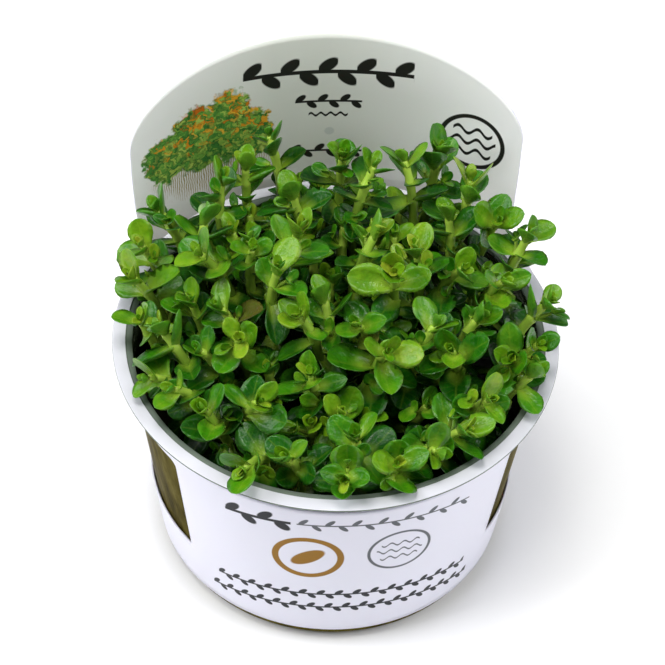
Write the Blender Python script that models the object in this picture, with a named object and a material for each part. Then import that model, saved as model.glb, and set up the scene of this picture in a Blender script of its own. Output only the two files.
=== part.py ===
"""Aquarium stem plant grown in a round culture pot, with the pot's printed sheet.

The pot is a clear, slightly conical cup with a flat lip and a rounded foot.  A layer of
stiff growing gel fills its lower part.  About fifty leafy shoots rise from the gel, stand
above the lip and lean over it at the sides and the front.  One thin white sheet goes
round the cup: a front panel, a low band, a window on each side, and an arched back panel
that stands up behind the plants.

Frame: metres, +Z up, the origin at the middle of the cup's flat underside, the front is -Y.
All sizes below are in millimetres and are turned into metres by MM.
"""
import math

import bmesh
import bpy
import numpy as np
from mathutils.bvhtree import BVHTree

for old in list(bpy.data.objects):
    bpy.data.objects.remove(old, do_unlink=True)

MM = 0.001

# Cup
LIP_RADIUS = 50.0            # outer radius of the flat lip
LIP_TOP = 60.3               # height of the lip's upper face
LIP_UNDER = 59.7             # height of the lip's under face
WALL_TOP_RADIUS = 46.7       # outer radius of the wall just under the lip
WALL_TAPER = 0.117           # fall in radius per millimetre going down
WALL_THICKNESS = 0.8
FOOT_FILLET = 3.0            # rounding between the wall and the flat underside
FLOOR_THICKNESS = 0.9
CUP_SIDES = 56

# Growing gel
GEL_TOP = 40.0
GEL_CLEARANCE = 0.3          # gap to the cup on every side

# Printed sheet
SHEET_THICKNESS = 0.45
SHEET_CLEARANCE = 0.35       # gap between the sheet and the wall
SHEET_TURN = math.radians(5.5)    # the sheet sits turned on the cup
SHEET_BOTTOM = 4.4
SHEET_TOP = 55.5             # top edge of the front panel and of the strips
WINDOW_BOTTOM = 19.5
WINDOW_TOP = 52.0
WINDOW_FRONT = math.radians(127.9)   # front edge of a side window, from the back centre
WINDOW_REAR = math.radians(64.0)     # rear edge of a side window
WINDOW_CORNER = 2.0          # rounding of a window's upper front corner
HEADER_HALF_WIDTH = 47.6     # half the width of the back panel, along the sheet
HEADER_RADIUS = 80.0         # plan radius of the back panel, flatter than the cup
HEADER_DISTANCE = 50.9       # distance of the back panel's middle from the axis
HEADER_SHOULDER = 82.7       # where the straight sides turn into the arch
HEADER_TOP = 105.0
BEND_START = 24.0            # below this the back follows the cup
BEND_END = 58.5              # above this the back's middle stands on its own flatter curve
BEND_RISE = 22.0             # the back's side edges reach that curve this much higher
STRIP_FADE = math.radians(34.0)   # the strips over the windows return to the cup within this

# Shoots
STEM_START = 40.35           # stems begin just above the gel
STEM_HALF = 0.82             # half the width of the square stem
NODE_HEIGHT = 1.3            # height of the ring that carries a pair of leaves
STRAIGHT_BELOW = 17.5        # a stem is straight from its foot up to this far below the tip
SWAY = 8.5                   # most that a stem is pulled aside on its way up
STEM_RINGS = (17.5, 12.0, 7.0, 3.0, 0.0)  # rings of a stem's plain shape, below the tip
PAIR_DEPTH = (1.7, 5.4, 10.0, 15.4)       # leaf pairs, measured down from the tip
PAIR_LENGTH = (6.7, 8.1, 8.7, 8.3)        # leaf lengths from the top pair down
PAIR_TILT = (60.0, 38.0, 20.0, 4.0)       # rise of a leaf above square to the stem
STEEPEST = 74.0              # no leaf rises more than this
LEAF_THICKNESS = 0.8
LEAF_ASPECT = 0.81           # width over length
GAP = 0.38                   # clear space kept round every leaf and stem

# Rim of a leaf from the left round to the right: share of the length, share of the half
# width, then how much of the cupping and of the curl the point takes.
RIM = (
    (0.34, -0.84, 1.0, 0.12), (0.78, -0.92, 0.7, 0.61), (1.0, 0.0, 0.0, 1.0),
    (0.78, 0.92, 0.7, 0.61), (0.34, 0.84, 1.0, 0.12),
)
HEART = (0.6, -0.02, 0.36)   # middle of a leaf: share of the length, dish, share of the curl

# Postures tried for a leaf, each a change of tilt and a turn sideways, in degrees.
POSTURES = (
    (0, 0), (12, 0), (-12, 0), (0, 18), (0, -18), (24, 0), (-24, 0), (12, 25), (12, -25), (-12, 25), (-12, -25),
)

# Tip of each shoot: x, y, height above or below the canopy's dome, direction of the
# top pair of leaves in degrees, relative size.  Read by eye, in whole millimetres.
SHOOTS = (
    (-17, 41, -2, 10, 0.75), (-22, 32, -2, 90, 0.9), (-27, 27, -1, 150, 1.0), (-41, 22, -3, 20, 1.0),
    (-30, 17, -3, 90, 1.0), (-44, 13, -4, 60, 0.95), (-45, 4, -4, 70, 1.05), (-43, -6, -5, 0, 0.9),
    (-38, -11, -2, 120, 1.1), (-30, 4, 0, 30, 1.0), (-19, 4, 0, 0, 0.9), (-13, -2, 1, 60, 1.1),
    (-9, 9, 0, 45, 1.1), (-25, -6, -5, 80, 1.0), (-3, -5, -4, 90, 0.9), (0, 32, 0, 0, 1.0),
    (7, 27, 2, 0, 0.9), (14, 32, 0, 5, 1.05), (22, 37, 0, 135, 1.05), (29, 29, 0, 170, 1.0),
    (24, 21, -4, 100, 1.0), (35, 19, -1, 160, 1.1), (42, 15, 1, 45, 1.1), (8, 11, -2, 20, 1.0),
    (17, 7, -2, 60, 1.1), (12, -2, 1, 90, 1.2), (27, 4, -2, 90, 1.0), (36, 2, -1, 20, 1.1),
    (46, -1, 0, 80, 1.05), (31, -7, -2, 0, 1.0), (5, -11, -4, 10, 1.1), (21, -10, -3, 150, 1.0),
    (-21, -15, -2, 120, 1.0), (-29, -16, -3, 40, 0.95), (-40, -20, -3, 30, 0.95), (-34, -25, 0, 45, 0.9),
    (-27, -30, 0, 20, 1.05), (-16, -29, 0, 60, 1.0), (-18, -43, -1, 95, 1.1), (-8, -12, 0, 40, 1.1),
    (-5, -22, -3, 90, 0.95), (3, -46, 0, 0, 1.0), (5, -37, 1, 30, 1.0), (11, -19, 1, 0, 1.15),
    (25, -17, 1, 100, 1.1), (38, -15, -1, 150, 1.15), (44, -10, -2, 10, 0.85), (43, -17, -1, 40, 0.9),
    (33, -25, 0, 120, 1.05), (28, -32, 0, 30, 1.0), (22, -37, -1, 100, 1.0), (14, -41, -1, 0, 1.0),
    (-9, -40, -2, 30, 1.0), (-11, 24, -4, 100, 1.0),
)


# Helpers
def material(name, colour, roughness, alpha=1.0):
    """A Principled material of one plain colour."""
    mat = bpy.data.materials.new(name)
    mat.use_nodes = True
    shader = mat.node_tree.nodes["Principled BSDF"]
    shader.inputs["Base Color"].default_value = (*colour, 1.0)
    shader.inputs["Roughness"].default_value = roughness
    shader.inputs["Alpha"].default_value = alpha
    return mat


def add_body(name, mesh, mat, place=(0.0, 0.0, 0.0)):
    """Link a mesh as a named object with its material; place is in millimetres."""
    mesh.materials.append(mat)
    body = bpy.data.objects.new(name, mesh)
    body.location = [MM * c for c in place]
    bpy.context.scene.collection.objects.link(body)
    return body


def mesh_from(name, points, faces):
    """A mesh from points in millimetres, its faces turned to one side."""
    mesh = bpy.data.meshes.new(name)
    mesh.from_pydata([tuple(MM * c for c in p) for p in points], [], faces)
    work = bmesh.new()
    work.from_mesh(mesh)
    bmesh.ops.recalc_face_normals(work, faces=work.faces)
    work.to_mesh(mesh)
    work.free()
    return mesh


def turned(name, profile, mat):
    """Spin a closed profile of (radius, height) pairs that begins and ends on the axis."""
    work = bmesh.new()
    line = [work.verts.new((MM * radius, 0.0, MM * height)) for radius, height in profile]
    edges = [work.edges.new(pair) for pair in zip(line, line[1:])]
    bmesh.ops.spin(
        work, geom=line + edges, cent=(0, 0, 0), axis=(0, 0, 1), angle=2.0 * math.pi, steps=CUP_SIDES
    )
    bmesh.ops.remove_doubles(work, verts=work.verts, dist=0.001 * MM)
    bmesh.ops.recalc_face_normals(work, faces=work.faces)
    mesh = bpy.data.meshes.new(name)
    work.to_mesh(mesh)
    work.free()
    mesh.shade_smooth()
    mesh.set_sharp_from_angle(angle=math.radians(40.0))
    return add_body(name, mesh, mat)


def wall_radius(z):
    """Outer radius of the cup's wall at a height."""
    return WALL_TOP_RADIUS - WALL_TAPER * (LIP_UNDER - z)


def inner_radius(z):
    """Inner radius of the cup's wall at a height."""
    return wall_radius(z) - WALL_THICKNESS


def smooth_step(value):
    """Rise from 0 to 1 with level ends."""
    t = min(1.0, max(0.0, value))
    return t * t * (3.0 - 2.0 * t)


# Cup and gel
def cup_profile():
    """Underside, rounded foot, wall, lip, then back down the inside to the floor."""
    profile = [(0.0, 0.0)]
    centre = wall_radius(FOOT_FILLET) - FOOT_FILLET
    for degrees in (-90, -68, -45, -22, 0):
        angle = math.radians(degrees)
        profile.append((centre + FOOT_FILLET * math.cos(angle), FOOT_FILLET * (1.0 + math.sin(angle))))
    profile.append((wall_radius(LIP_UNDER - 0.6), LIP_UNDER - 0.6))
    profile.append((WALL_TOP_RADIUS + 0.5, LIP_UNDER))
    profile.append((LIP_RADIUS - 0.2, LIP_UNDER))
    profile.append((LIP_RADIUS, LIP_UNDER + 0.2))
    profile.append((LIP_RADIUS, LIP_TOP - 0.2))
    profile.append((LIP_RADIUS - 0.2, LIP_TOP))
    profile.append((inner_radius(LIP_TOP) + 0.5, LIP_TOP))
    profile.append((inner_radius(LIP_TOP - 0.6), LIP_TOP - 0.6))
    inner = FOOT_FILLET - WALL_THICKNESS
    for degrees in (0, -30, -60, -90):
        angle = math.radians(degrees)
        profile.append((centre + inner * math.cos(angle), FLOOR_THICKNESS + inner * (1.0 + math.sin(angle))))
    profile.append((0.0, FLOOR_THICKNESS))
    return profile


def gel_profile():
    """A plug that follows the cup's inside with a small gap."""
    centre = wall_radius(FOOT_FILLET) - FOOT_FILLET
    inner = FOOT_FILLET - WALL_THICKNESS - GEL_CLEARANCE
    floor = FLOOR_THICKNESS + GEL_CLEARANCE
    profile = [(0.0, floor)]
    for degrees in (-90, -60, -30, 0):
        angle = math.radians(degrees)
        profile.append((centre + inner * math.cos(angle), floor + inner * (1.0 + math.sin(angle))))
    profile.append((inner_radius(GEL_TOP) - GEL_CLEARANCE - 0.02, GEL_TOP - 0.8))
    profile.append((inner_radius(GEL_TOP) - GEL_CLEARANCE - 0.9, GEL_TOP))
    profile.append((0.0, GEL_TOP))
    return profile


# Printed sheet
def sheet_point(angle, z):
    """A point of the sheet's middle surface; the angle runs from the back centre."""
    radius = wall_radius(z) + SHEET_CLEARANCE + 0.5 * SHEET_THICKNESS
    around_x, around_y = radius * math.sin(angle), radius * math.cos(angle)
    turn = angle * WALL_TOP_RADIUS / HEADER_RADIUS
    flat_x = HEADER_RADIUS * math.sin(turn)
    flat_y = HEADER_DISTANCE - HEADER_RADIUS * (1.0 - math.cos(turn))
    edge = min(1.0, abs(angle) * WALL_TOP_RADIUS / HEADER_HALF_WIDTH)
    bend = BEND_END + BEND_RISE * edge * edge - BEND_START
    beyond = (abs(angle) - HEADER_HALF_WIDTH / WALL_TOP_RADIUS) / STRIP_FADE
    share = smooth_step((z - BEND_START) / bend) * (1.0 - smooth_step(beyond))
    x = around_x + share * (flat_x - around_x)
    y = around_y + share * (flat_y - around_y)
    c, s = math.cos(SHEET_TURN), math.sin(SHEET_TURN)
    return (c * x - s * y, s * x + c * y, z)


def header_top(along):
    """Height of the arched top edge at a distance along the sheet."""
    share = min(1.0, abs(along) / HEADER_HALF_WIDTH)
    return HEADER_SHOULDER + (HEADER_TOP - HEADER_SHOULDER) * math.sqrt(1.0 - share * share)


def sheet_cells():
    """Flat cells of the sheet, each a list of (angle, height) corners."""
    back = HEADER_HALF_WIDTH / WALL_TOP_RADIUS
    corner = WINDOW_CORNER / WALL_TOP_RADIUS
    columns = [back * math.sin(0.5 * math.pi * i / 12.0) for i in range(13)]
    columns += [WINDOW_REAR + (WINDOW_FRONT - WINDOW_REAR) * i / 11.0 for i in range(11)]
    columns += [WINDOW_FRONT - corner, WINDOW_FRONT]
    columns += [WINDOW_FRONT + (math.pi - WINDOW_FRONT) * i / 8.0 for i in range(1, 9)]
    rows = [SHEET_BOTTOM, 12.0, WINDOW_BOTTOM, 27.0, 35.0, 43.0, WINDOW_TOP - WINDOW_CORNER]
    rows += [WINDOW_TOP, SHEET_TOP]
    cells = []
    for side in (-1.0, 1.0):
        for i in range(len(columns) - 1):
            a, b = side * columns[i], side * columns[i + 1]
            in_window = WINDOW_REAR - 1e-6 <= columns[i] and columns[i + 1] <= WINDOW_FRONT + 1e-6
            for k in range(len(rows) - 1):
                low, high = rows[k], rows[k + 1]
                if in_window and low >= WINDOW_BOTTOM - 1e-6 and high <= WINDOW_TOP + 1e-6:
                    continue
                cells.append([(a, low), (b, low), (b, high), (a, high)])
        pivot = (side * (WINDOW_FRONT - corner), WINDOW_TOP - WINDOW_CORNER)
        arc = []
        for degrees in (0, 30, 60, 90):
            bend = math.radians(degrees)
            arc.append((pivot[0] + side * corner * math.cos(bend), pivot[1] + WINDOW_CORNER * math.sin(bend)))
        tip = (side * WINDOW_FRONT, WINDOW_TOP)
        for first, second in zip(arc[:-1], arc[1:]):
            cells.append([tip, first, second])
    levels = 6
    signed = [-c for c in reversed(columns[1:13])] + columns[:13]
    for i in range(len(signed) - 1):
        for k in range(levels):
            quad = []
            for column, level in ((i, k), (i + 1, k), (i + 1, k + 1), (i, k + 1)):
                angle = signed[column]
                top = header_top(angle * WALL_TOP_RADIUS)
                quad.append((angle, SHEET_TOP + (top - SHEET_TOP) * level / levels))
            cells.append(quad)
    return cells


def build_sheet(mat):
    """Bend the flat cells onto the cup, weld them and give them the sheet's thickness."""
    points = []
    faces = []
    for cell in sheet_cells():
        area = sum(a[0] * b[1] - b[0] * a[1] for a, b in zip(cell, cell[1:] + cell[:1]))
        corners = cell if area > 0.0 else cell[::-1]
        faces.append(range(len(points), len(points) + len(corners)))
        points += [sheet_point(angle, z) for angle, z in corners]
    mesh = bpy.data.meshes.new("label")
    mesh.from_pydata([tuple(MM * c for c in p) for p in points], [], [tuple(f) for f in faces])
    work = bmesh.new()
    work.from_mesh(mesh)
    bmesh.ops.remove_doubles(work, verts=work.verts, dist=0.01 * MM)
    bmesh.ops.recalc_face_normals(work, faces=work.faces)
    work.to_mesh(mesh)
    work.free()
    mesh.shade_smooth()
    mesh.set_sharp_from_angle(angle=math.radians(40.0))
    sheet = add_body("label", mesh, mat)
    thicken = sheet.modifiers.new("sheet thickness", "SOLIDIFY")
    thicken.thickness = SHEET_THICKNESS * MM
    thicken.offset = 0.0
    return sheet


# Shoots
def whim(number, pair, hand, kind):
    """A fixed value from -1 to 1 that differs for each leaf and each kind of change."""
    seed = (((number * 8 + pair) * 2 + hand) * 8 + kind) * 2654435761 + 97531
    seed = (seed ^ (seed >> 15)) % 4294967296
    seed = seed * 2246822519 % 4294967296
    seed ^= seed >> 13
    return seed / 2147483648.0 - 1.0


def dome(x, y):
    """Height of the canopy: high at the back, low at the front and the sides."""
    return 75.0 + 10.0 * math.tanh((y + 20.0) / 20.0) - 8.0 * (x / 46.0) ** 2


def shoot_path(x, y, lift, sway):
    """Points along a stem from the gel to its tip: a straight foot, then a gentle curve."""
    tip = np.array([x, y, dome(x, y) + lift])
    reach = math.hypot(x, y)
    root_scale = min(0.74, 33.0 / max(reach, 1.0))
    root = np.array([x * root_scale, y * root_scale, STEM_START])
    pull_scale = min(0.9, 39.0 / max(reach, 1.0))
    height = max(61.5, 0.35 * root[2] + 0.65 * tip[2])
    if reach < 42.0:
        height = 0.4 * root[2] + 0.6 * tip[2]
    pull = np.array([x * pull_scale + sway[0], y * pull_scale + sway[1], height])
    t = np.arange(41)[:, None] / 40.0
    curve = (1.0 - t) ** 2 * root + 2.0 * t * (1.0 - t) * pull + t * t * tip
    steps = np.linalg.norm(np.diff(curve, axis=0), axis=1)
    depth = np.append(np.cumsum(steps[::-1])[::-1], 0.0)
    return np.concatenate([root[None, :], curve[depth < STRAIGHT_BELOW]])


def path_length(path):
    """Length along a path of points."""
    return float(np.linalg.norm(np.diff(path, axis=0), axis=1).sum())


def along_path(path, depth):
    """Point and upward direction at a distance below the tip."""
    left = depth
    for i in range(len(path) - 1, 0, -1):
        step = float(np.linalg.norm(path[i] - path[i - 1]))
        if left <= step or i == 1:
            share = min(1.0, left / step)
            return path[i] + (path[i - 1] - path[i]) * share, (path[i] - path[i - 1]) / step
        left -= step
    return path[0], path[1] - path[0]


def stem_frame(tangent, turn):
    """Two directions square to the stem, the first close to the given compass turn."""
    ahead = np.array([math.cos(turn), math.sin(turn), 0.0])
    first = ahead - tangent * (ahead @ tangent)
    first /= np.linalg.norm(first)
    return first, np.cross(tangent, first)


def stem_ring(path, depth, turn, half):
    """Four corners of the square stem."""
    centre, tangent = along_path(path, depth)
    u, v = stem_frame(tangent, turn)
    return [centre + half * (a * u + b * v) for a, b in ((1, -1), (1, 1), (-1, 1), (-1, -1))]


def leaf_axes(out, up, side, tilt, yaw, roll):
    """Directions along a leaf, across it and square to its face."""
    ahead = math.cos(yaw) * out + math.sin(yaw) * side
    level = math.cos(yaw) * side - math.sin(yaw) * out
    axis = math.cos(tilt) * ahead + math.sin(tilt) * up
    rise = math.cos(tilt) * up - math.sin(tilt) * ahead
    return axis, math.cos(roll) * level + math.sin(roll) * rise, math.cos(roll) * rise - math.sin(roll) * level


def leaf_points(pose, grow):
    """Rim points from the left round to the right, then the upper and the lower middle."""
    origin, out, up, side, length, tilt, yaw, roll, cup, curl = pose
    axis, across, normal = leaf_axes(out, up, side, tilt, yaw, roll)
    width, thick = LEAF_ASPECT * length + 2.0 * grow, LEAF_THICKNESS + 2.0 * grow
    length += grow
    points = []
    for along, aside, cupped, curled in RIM:
        lift = (cup * cupped + curl * curled) * length
        points.append(origin + along * length * axis + 0.5 * aside * width * across + lift * normal)
    heart = origin + HEART[0] * length * axis + (HEART[1] + HEART[2] * curl) * length * normal
    return np.array(points + [heart + 0.5 * thick * normal, heart - 0.5 * thick * normal])


def leaf_body(pose, grow):
    """The leaf as a closed shape, made larger by a gap to keep when grow is above zero."""
    origin, up, side = pose[0], pose[2], pose[3]
    points = leaf_points(pose, grow)
    start = origin + ((points[5] + points[6]) * 0.5 - origin) * (0.12 if grow else 0.0)
    base = []
    for rise in (-0.5 * NODE_HEIGHT - 0.5 * grow, 0.5 * NODE_HEIGHT + 0.5 * grow):
        for reach in (-STEM_HALF - 0.6 * grow, STEM_HALF + 0.6 * grow):
            base.append(start + up * rise + side * reach)
    return np.concatenate([points, base])


LEAF_BODY_FACES = [(7, 8, 10, 9), (9, 7, 0), (8, 10, 4)] + [
    (a, b, middle)
    for loop, middle in (((9, 0, 1, 2, 3, 4, 10), 5), ((7, 0, 1, 2, 3, 4, 8), 6))
    for a, b in zip(loop, loop[1:] + loop[:1])
]


def clear_of_pot(points):
    """True if the points keep off the wall, the lip, the gel and the back panel."""
    x, y, z = points.T
    if (z < GEL_TOP + 0.8).any():
        return False
    if ((z < LIP_TOP + 0.8) & (np.hypot(x, y) > inner_radius(np.minimum(z, LIP_TOP)) - 0.7)).any():
        return False
    c, s = math.cos(SHEET_TURN), math.sin(SHEET_TURN)
    across, back = c * x + s * y, c * y - s * x
    bound = np.sqrt(HEADER_RADIUS ** 2 - np.minimum(across ** 2, 3600.0))
    limit = HEADER_DISTANCE - HEADER_RADIUS + bound
    return not ((np.abs(across) < HEADER_HALF_WIDTH + 2.0) & (back > limit - 1.0)).any()


class Crowd:
    """Closed shapes already placed, with a quick test against a new one."""

    def __init__(self):
        self.items = []

    def add(self, points, faces):
        middle = points.mean(0)
        reach = np.linalg.norm(points - middle, axis=1).max()
        self.items.append((middle, reach, BVHTree.FromPolygons(points.tolist(), faces)))

    def clashes(self, points, faces):
        middle = points.mean(0)
        reach = np.linalg.norm(points - middle, axis=1).max()
        tree = None
        for other_middle, other_reach, other in self.items:
            gap = other_middle - middle
            if math.sqrt(gap @ gap) > reach + other_reach:
                continue
            tree = tree or BVHTree.FromPolygons(points.tolist(), faces)
            if tree.overlap(other):
                return True
        return False


def tube_faces(rings):
    """Quads of a closed four-sided tube."""
    faces = [(3, 2, 1, 0)]
    for k in range(rings - 1):
        for i in range(4):
            j = (i + 1) % 4
            faces.append((4 * k + i, 4 * k + j, 4 * k + 4 + j, 4 * k + 4 + i))
    top = 4 * (rings - 1)
    return faces + [(top, top + 1, top + 2, top + 3)]


def place_stem(crowd, number, x, y, lift, turn):
    """Pull the stem aside by its own whim, less if it would touch one that stands already."""
    faces = tube_faces(len(STEM_RINGS) + 1)
    free = SWAY if math.hypot(x, y) < 42.0 else 0.4 * SWAY
    for share in (1.0, 0.5, 0.0, -0.5, -1.0):
        sway = (share * free * whim(number, 0, 0, 6), share * free * whim(number, 0, 1, 6))
        path = shoot_path(x, y, lift, sway)
        depths = (path_length(path),) + STEM_RINGS
        wide = np.array([p for d in depths for p in stem_ring(path, d, turn, STEM_HALF + GAP)])
        if not crowd.clashes(wide, faces):
            break
    crowd.add(np.array([p for d in depths for p in stem_ring(path, d, turn, STEM_HALF)]), faces)
    return path


def place_leaf(crowd, path, number, turn, size, pair, hand):
    """Find a posture for one leaf that keeps clear of all placed shapes, or None."""
    centre, tangent = along_path(path, PAIR_DEPTH[pair] * (0.6 + 0.4 * size))
    u, v = stem_frame(tangent, turn)
    out = (u, v, -u, -v)[(pair % 2) + 2 * hand]
    side = np.cross(tangent, out)
    origin = centre + out * STEM_HALF
    cup = 0.13 + 0.10 * whim(number, pair, hand, 3)
    curl = -0.12 + 0.20 * whim(number, pair, hand, 4)
    for shrink in (1.0, 0.88, 0.76, 0.64):
        length = PAIR_LENGTH[pair] * size * shrink * (0.96 + 0.18 * whim(number, pair, hand, 5))
        for lean, aside in POSTURES:
            tilt = math.radians(min(STEEPEST, PAIR_TILT[pair] + 20.0 * whim(number, pair, hand, 0) + lean))
            yaw = math.radians(aside + 22.0 * whim(number, pair, hand, 1))
            roll = math.radians(30.0 * whim(number, pair, hand, 2))
            pose = (origin, out, tangent, side, length, tilt, yaw, roll, cup, curl)
            points = leaf_body(pose, GAP)
            if clear_of_pot(points) and not crowd.clashes(points, LEAF_BODY_FACES):
                return pose
    return None


def lay_out_shoots():
    """Stems first, then the leaf pairs from the top tier down, each kept clear of the rest."""
    crowd = Crowd()
    paths = []
    for number, (x, y, lift, turn, size) in enumerate(SHOOTS):
        paths.append(place_stem(crowd, number, x, y, lift, math.radians(turn)))
    leaves = {}
    for pair in range(len(PAIR_DEPTH)):
        for number, (x, y, lift, turn, size) in enumerate(SHOOTS):
            for hand in (0, 1):
                pose = place_leaf(crowd, paths[number], number, math.radians(turn), size, pair, hand)
                leaves[(number, pair, hand)] = pose
                if pose:
                    crowd.add(leaf_body(pose, 0.0), LEAF_BODY_FACES)
    return paths, leaves


def build_shoot(number, path, leaves, mat):
    """One closed body: the square stem, its leaf pairs and a small bud at the tip."""
    turn, size = math.radians(SHOOTS[number][3]), SHOOTS[number][4]
    depths = [path_length(path)]
    for pair in reversed(range(len(PAIR_DEPTH))):
        middle = PAIR_DEPTH[pair] * (0.6 + 0.4 * size)
        depths += [middle + 0.5 * NODE_HEIGHT, middle - 0.5 * NODE_HEIGHT]
    points = [p for d in depths for p in stem_ring(path, d, turn, STEM_HALF)]
    rise = path[1] - path[0]
    points[:4] = [p + rise * (STEM_START - p[2]) / rise[2] for p in points[:4]]
    faces = [(3, 2, 1, 0)]
    for k in range(len(depths) - 1):
        node = k % 2 == 1
        pair = len(PAIR_DEPTH) - 1 - (k - 1) // 2
        for i in range(4):
            j = (i + 1) % 4
            quad = (4 * k + i, 4 * k + j, 4 * k + 4 + j, 4 * k + 4 + i)
            pose = leaves.get((number, pair, i // 2)) if node and i % 2 == pair % 2 else None
            if not pose:
                faces.append(quad)
                continue
            first = len(points)
            points += list(leaf_points(pose, 0.0))
            low_left, low_right, high_right, high_left = quad
            rim = [first + n for n in range(5)]
            top, under = first + 5, first + 6
            upper = [high_left] + rim + [high_right]
            lower = [low_left] + rim + [low_right]
            for a, b in zip(upper, upper[1:] + upper[:1]):
                faces.append((a, b, top))
            for a, b in zip(lower, lower[1:] + lower[:1]):
                faces.append((b, a, under))
            faces.append((high_left, low_left, rim[0]))
            faces.append((low_right, high_right, rim[-1]))
    ring = 4 * (len(depths) - 1)
    points.append(path[-1] + 0.6 * (path[-1] - path[-2]) / np.linalg.norm(path[-1] - path[-2]))
    for i in range(4):
        faces.append((ring + i, ring + (i + 1) % 4, len(points) - 1))
    name = "shoot_%02d" % (number + 1)
    return add_body(name, mesh_from(name, [p - path[0] for p in points], faces), mat, path[0])


# Build
turned("cup", cup_profile(), material("clear cup plastic", (0.78, 0.82, 0.80), 0.12, 0.45))
turned("growing_gel", gel_profile(), material("olive growing gel", (0.10, 0.09, 0.035), 0.45))
build_sheet(material("white sheet plastic", (0.82, 0.84, 0.88), 0.35))
stem_paths, leaf_poses = lay_out_shoots()
for shoot in range(len(SHOOTS)):
    light = 0.85 + 0.3 * ((shoot * 7) % 11) / 10.0
    green = material("leaf green %02d" % (shoot + 1), (0.13 * light, 0.29 * light, 0.025 * light), 0.4)
    build_shoot(shoot, stem_paths[shoot], leaf_poses, green)
print("leaves placed", sum(1 for p in leaf_poses.values() if p), "of", len(leaf_poses))
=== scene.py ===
"""A stem plant for aquariums in its round culture cup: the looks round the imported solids.

Every shape is worked out in millimetres, in the frame of the solids: +Z up, the origin at the
middle of the cup's flat underside, the front at -Y.  MM turns the numbers into metres when a
mesh is made.
"""
import math

import bmesh
import bpy
import numpy as np
from mathutils import Matrix, Vector
from mathutils.bvhtree import BVHTree


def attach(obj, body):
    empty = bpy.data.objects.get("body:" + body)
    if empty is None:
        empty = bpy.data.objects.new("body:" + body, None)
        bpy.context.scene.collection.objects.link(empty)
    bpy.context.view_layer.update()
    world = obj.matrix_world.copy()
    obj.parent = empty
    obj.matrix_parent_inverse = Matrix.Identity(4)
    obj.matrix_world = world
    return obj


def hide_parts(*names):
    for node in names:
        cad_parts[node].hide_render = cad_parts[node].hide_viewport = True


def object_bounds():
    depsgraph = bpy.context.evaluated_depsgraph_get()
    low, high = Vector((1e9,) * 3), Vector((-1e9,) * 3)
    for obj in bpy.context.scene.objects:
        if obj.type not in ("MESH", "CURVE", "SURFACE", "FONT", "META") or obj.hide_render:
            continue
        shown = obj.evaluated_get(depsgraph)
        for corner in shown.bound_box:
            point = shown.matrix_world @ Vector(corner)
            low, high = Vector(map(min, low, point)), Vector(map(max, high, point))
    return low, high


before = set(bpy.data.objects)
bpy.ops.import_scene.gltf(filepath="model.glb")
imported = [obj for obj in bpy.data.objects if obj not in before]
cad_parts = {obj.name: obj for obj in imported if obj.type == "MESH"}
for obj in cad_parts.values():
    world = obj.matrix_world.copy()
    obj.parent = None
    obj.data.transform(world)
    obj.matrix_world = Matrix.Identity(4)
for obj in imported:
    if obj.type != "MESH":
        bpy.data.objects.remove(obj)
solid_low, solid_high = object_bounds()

MM = 0.001

# Sizes shared with the solids
LIP_RADIUS = 50.0
LIP_TOP = 60.3
LIP_UNDER = 59.7
WALL_TOP_RADIUS = 46.7
WALL_TAPER = 0.117
WALL_THICKNESS = 0.8
FOOT_FILLET = 3.0
FLOOR_THICKNESS = 0.9
GEL_TOP = 40.0
SHEET_THICKNESS = 0.45
SHEET_CLEARANCE = 0.35
SHEET_TURN = math.radians(5.5)
SHEET_BOTTOM = 4.4
SHEET_TOP = 55.5
WINDOW_BOTTOM = 19.5
WINDOW_TOP = 52.0
WINDOW_FRONT = math.radians(127.9)
WINDOW_REAR = math.radians(64.0)
WINDOW_CORNER = 2.0
HEADER_HALF_WIDTH = 47.6
HEADER_RADIUS = 80.0
HEADER_DISTANCE = 50.9
HEADER_SHOULDER = 82.7
HEADER_TOP = 105.0
BEND_START = 24.0
BEND_END = 58.5
BEND_RISE = 22.0
STRIP_FADE = math.radians(34.0)
STEM_START = 40.35           # stems begin just above the gel
STEM_HALF = 0.82             # half the width of the square stem
NODE_HEIGHT = 1.3            # height of the ring that carries a pair of leaves
STRAIGHT_BELOW = 17.5        # a stem is straight from its foot up to this far below the tip
SWAY = 8.5                   # most that a stem is pulled aside on its way up
EDGE_REACH = 42.0            # shoots with tips farther out lean over the lip and sway less
STEM_RINGS = (17.5, 12.0, 7.0, 3.0, 0.0)  # rings of a stem's plain shape, below the tip
PAIR_DEPTH = (1.7, 5.4, 10.0, 15.4, 20.6, 26.0)     # leaf pairs, measured down from the tip
PAIR_LENGTH = (6.7, 8.1, 8.7, 8.3, 7.8, 7.0)        # leaf lengths from the top pair down
PAIR_TILT = (60.0, 38.0, 20.0, 4.0, 0.0, -4.0)     # rise of a leaf above square to the stem
CAD_PAIRS = 4                # the upper pairs, which the solids have too
STEEPEST = 74.0              # no leaf rises more than this
LEAF_THICKNESS = 0.8
LEAF_ASPECT = 0.81           # width over length
GAP = 0.38                   # clear space kept round every leaf and stem

# Rim of a leaf from the left round to the right: share of the length, share of the half
# width, then how much of the cupping and of the curl the point takes.
RIM = (
    (0.34, -0.84, 1.0, 0.12), (0.78, -0.92, 0.7, 0.61), (1.0, 0.0, 0.0, 1.0),
    (0.78, 0.92, 0.7, 0.61), (0.34, 0.84, 1.0, 0.12),
)
HEART = (0.6, -0.02, 0.36)   # middle of a leaf: share of the length, dish, share of the curl

# Postures tried for a leaf, each a change of tilt and a turn sideways, in degrees.
POSTURES = (
    (0, 0), (12, 0), (-12, 0), (0, 18), (0, -18), (24, 0), (-24, 0),
    (12, 25), (12, -25), (-12, 25), (-12, -25),
)

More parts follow.
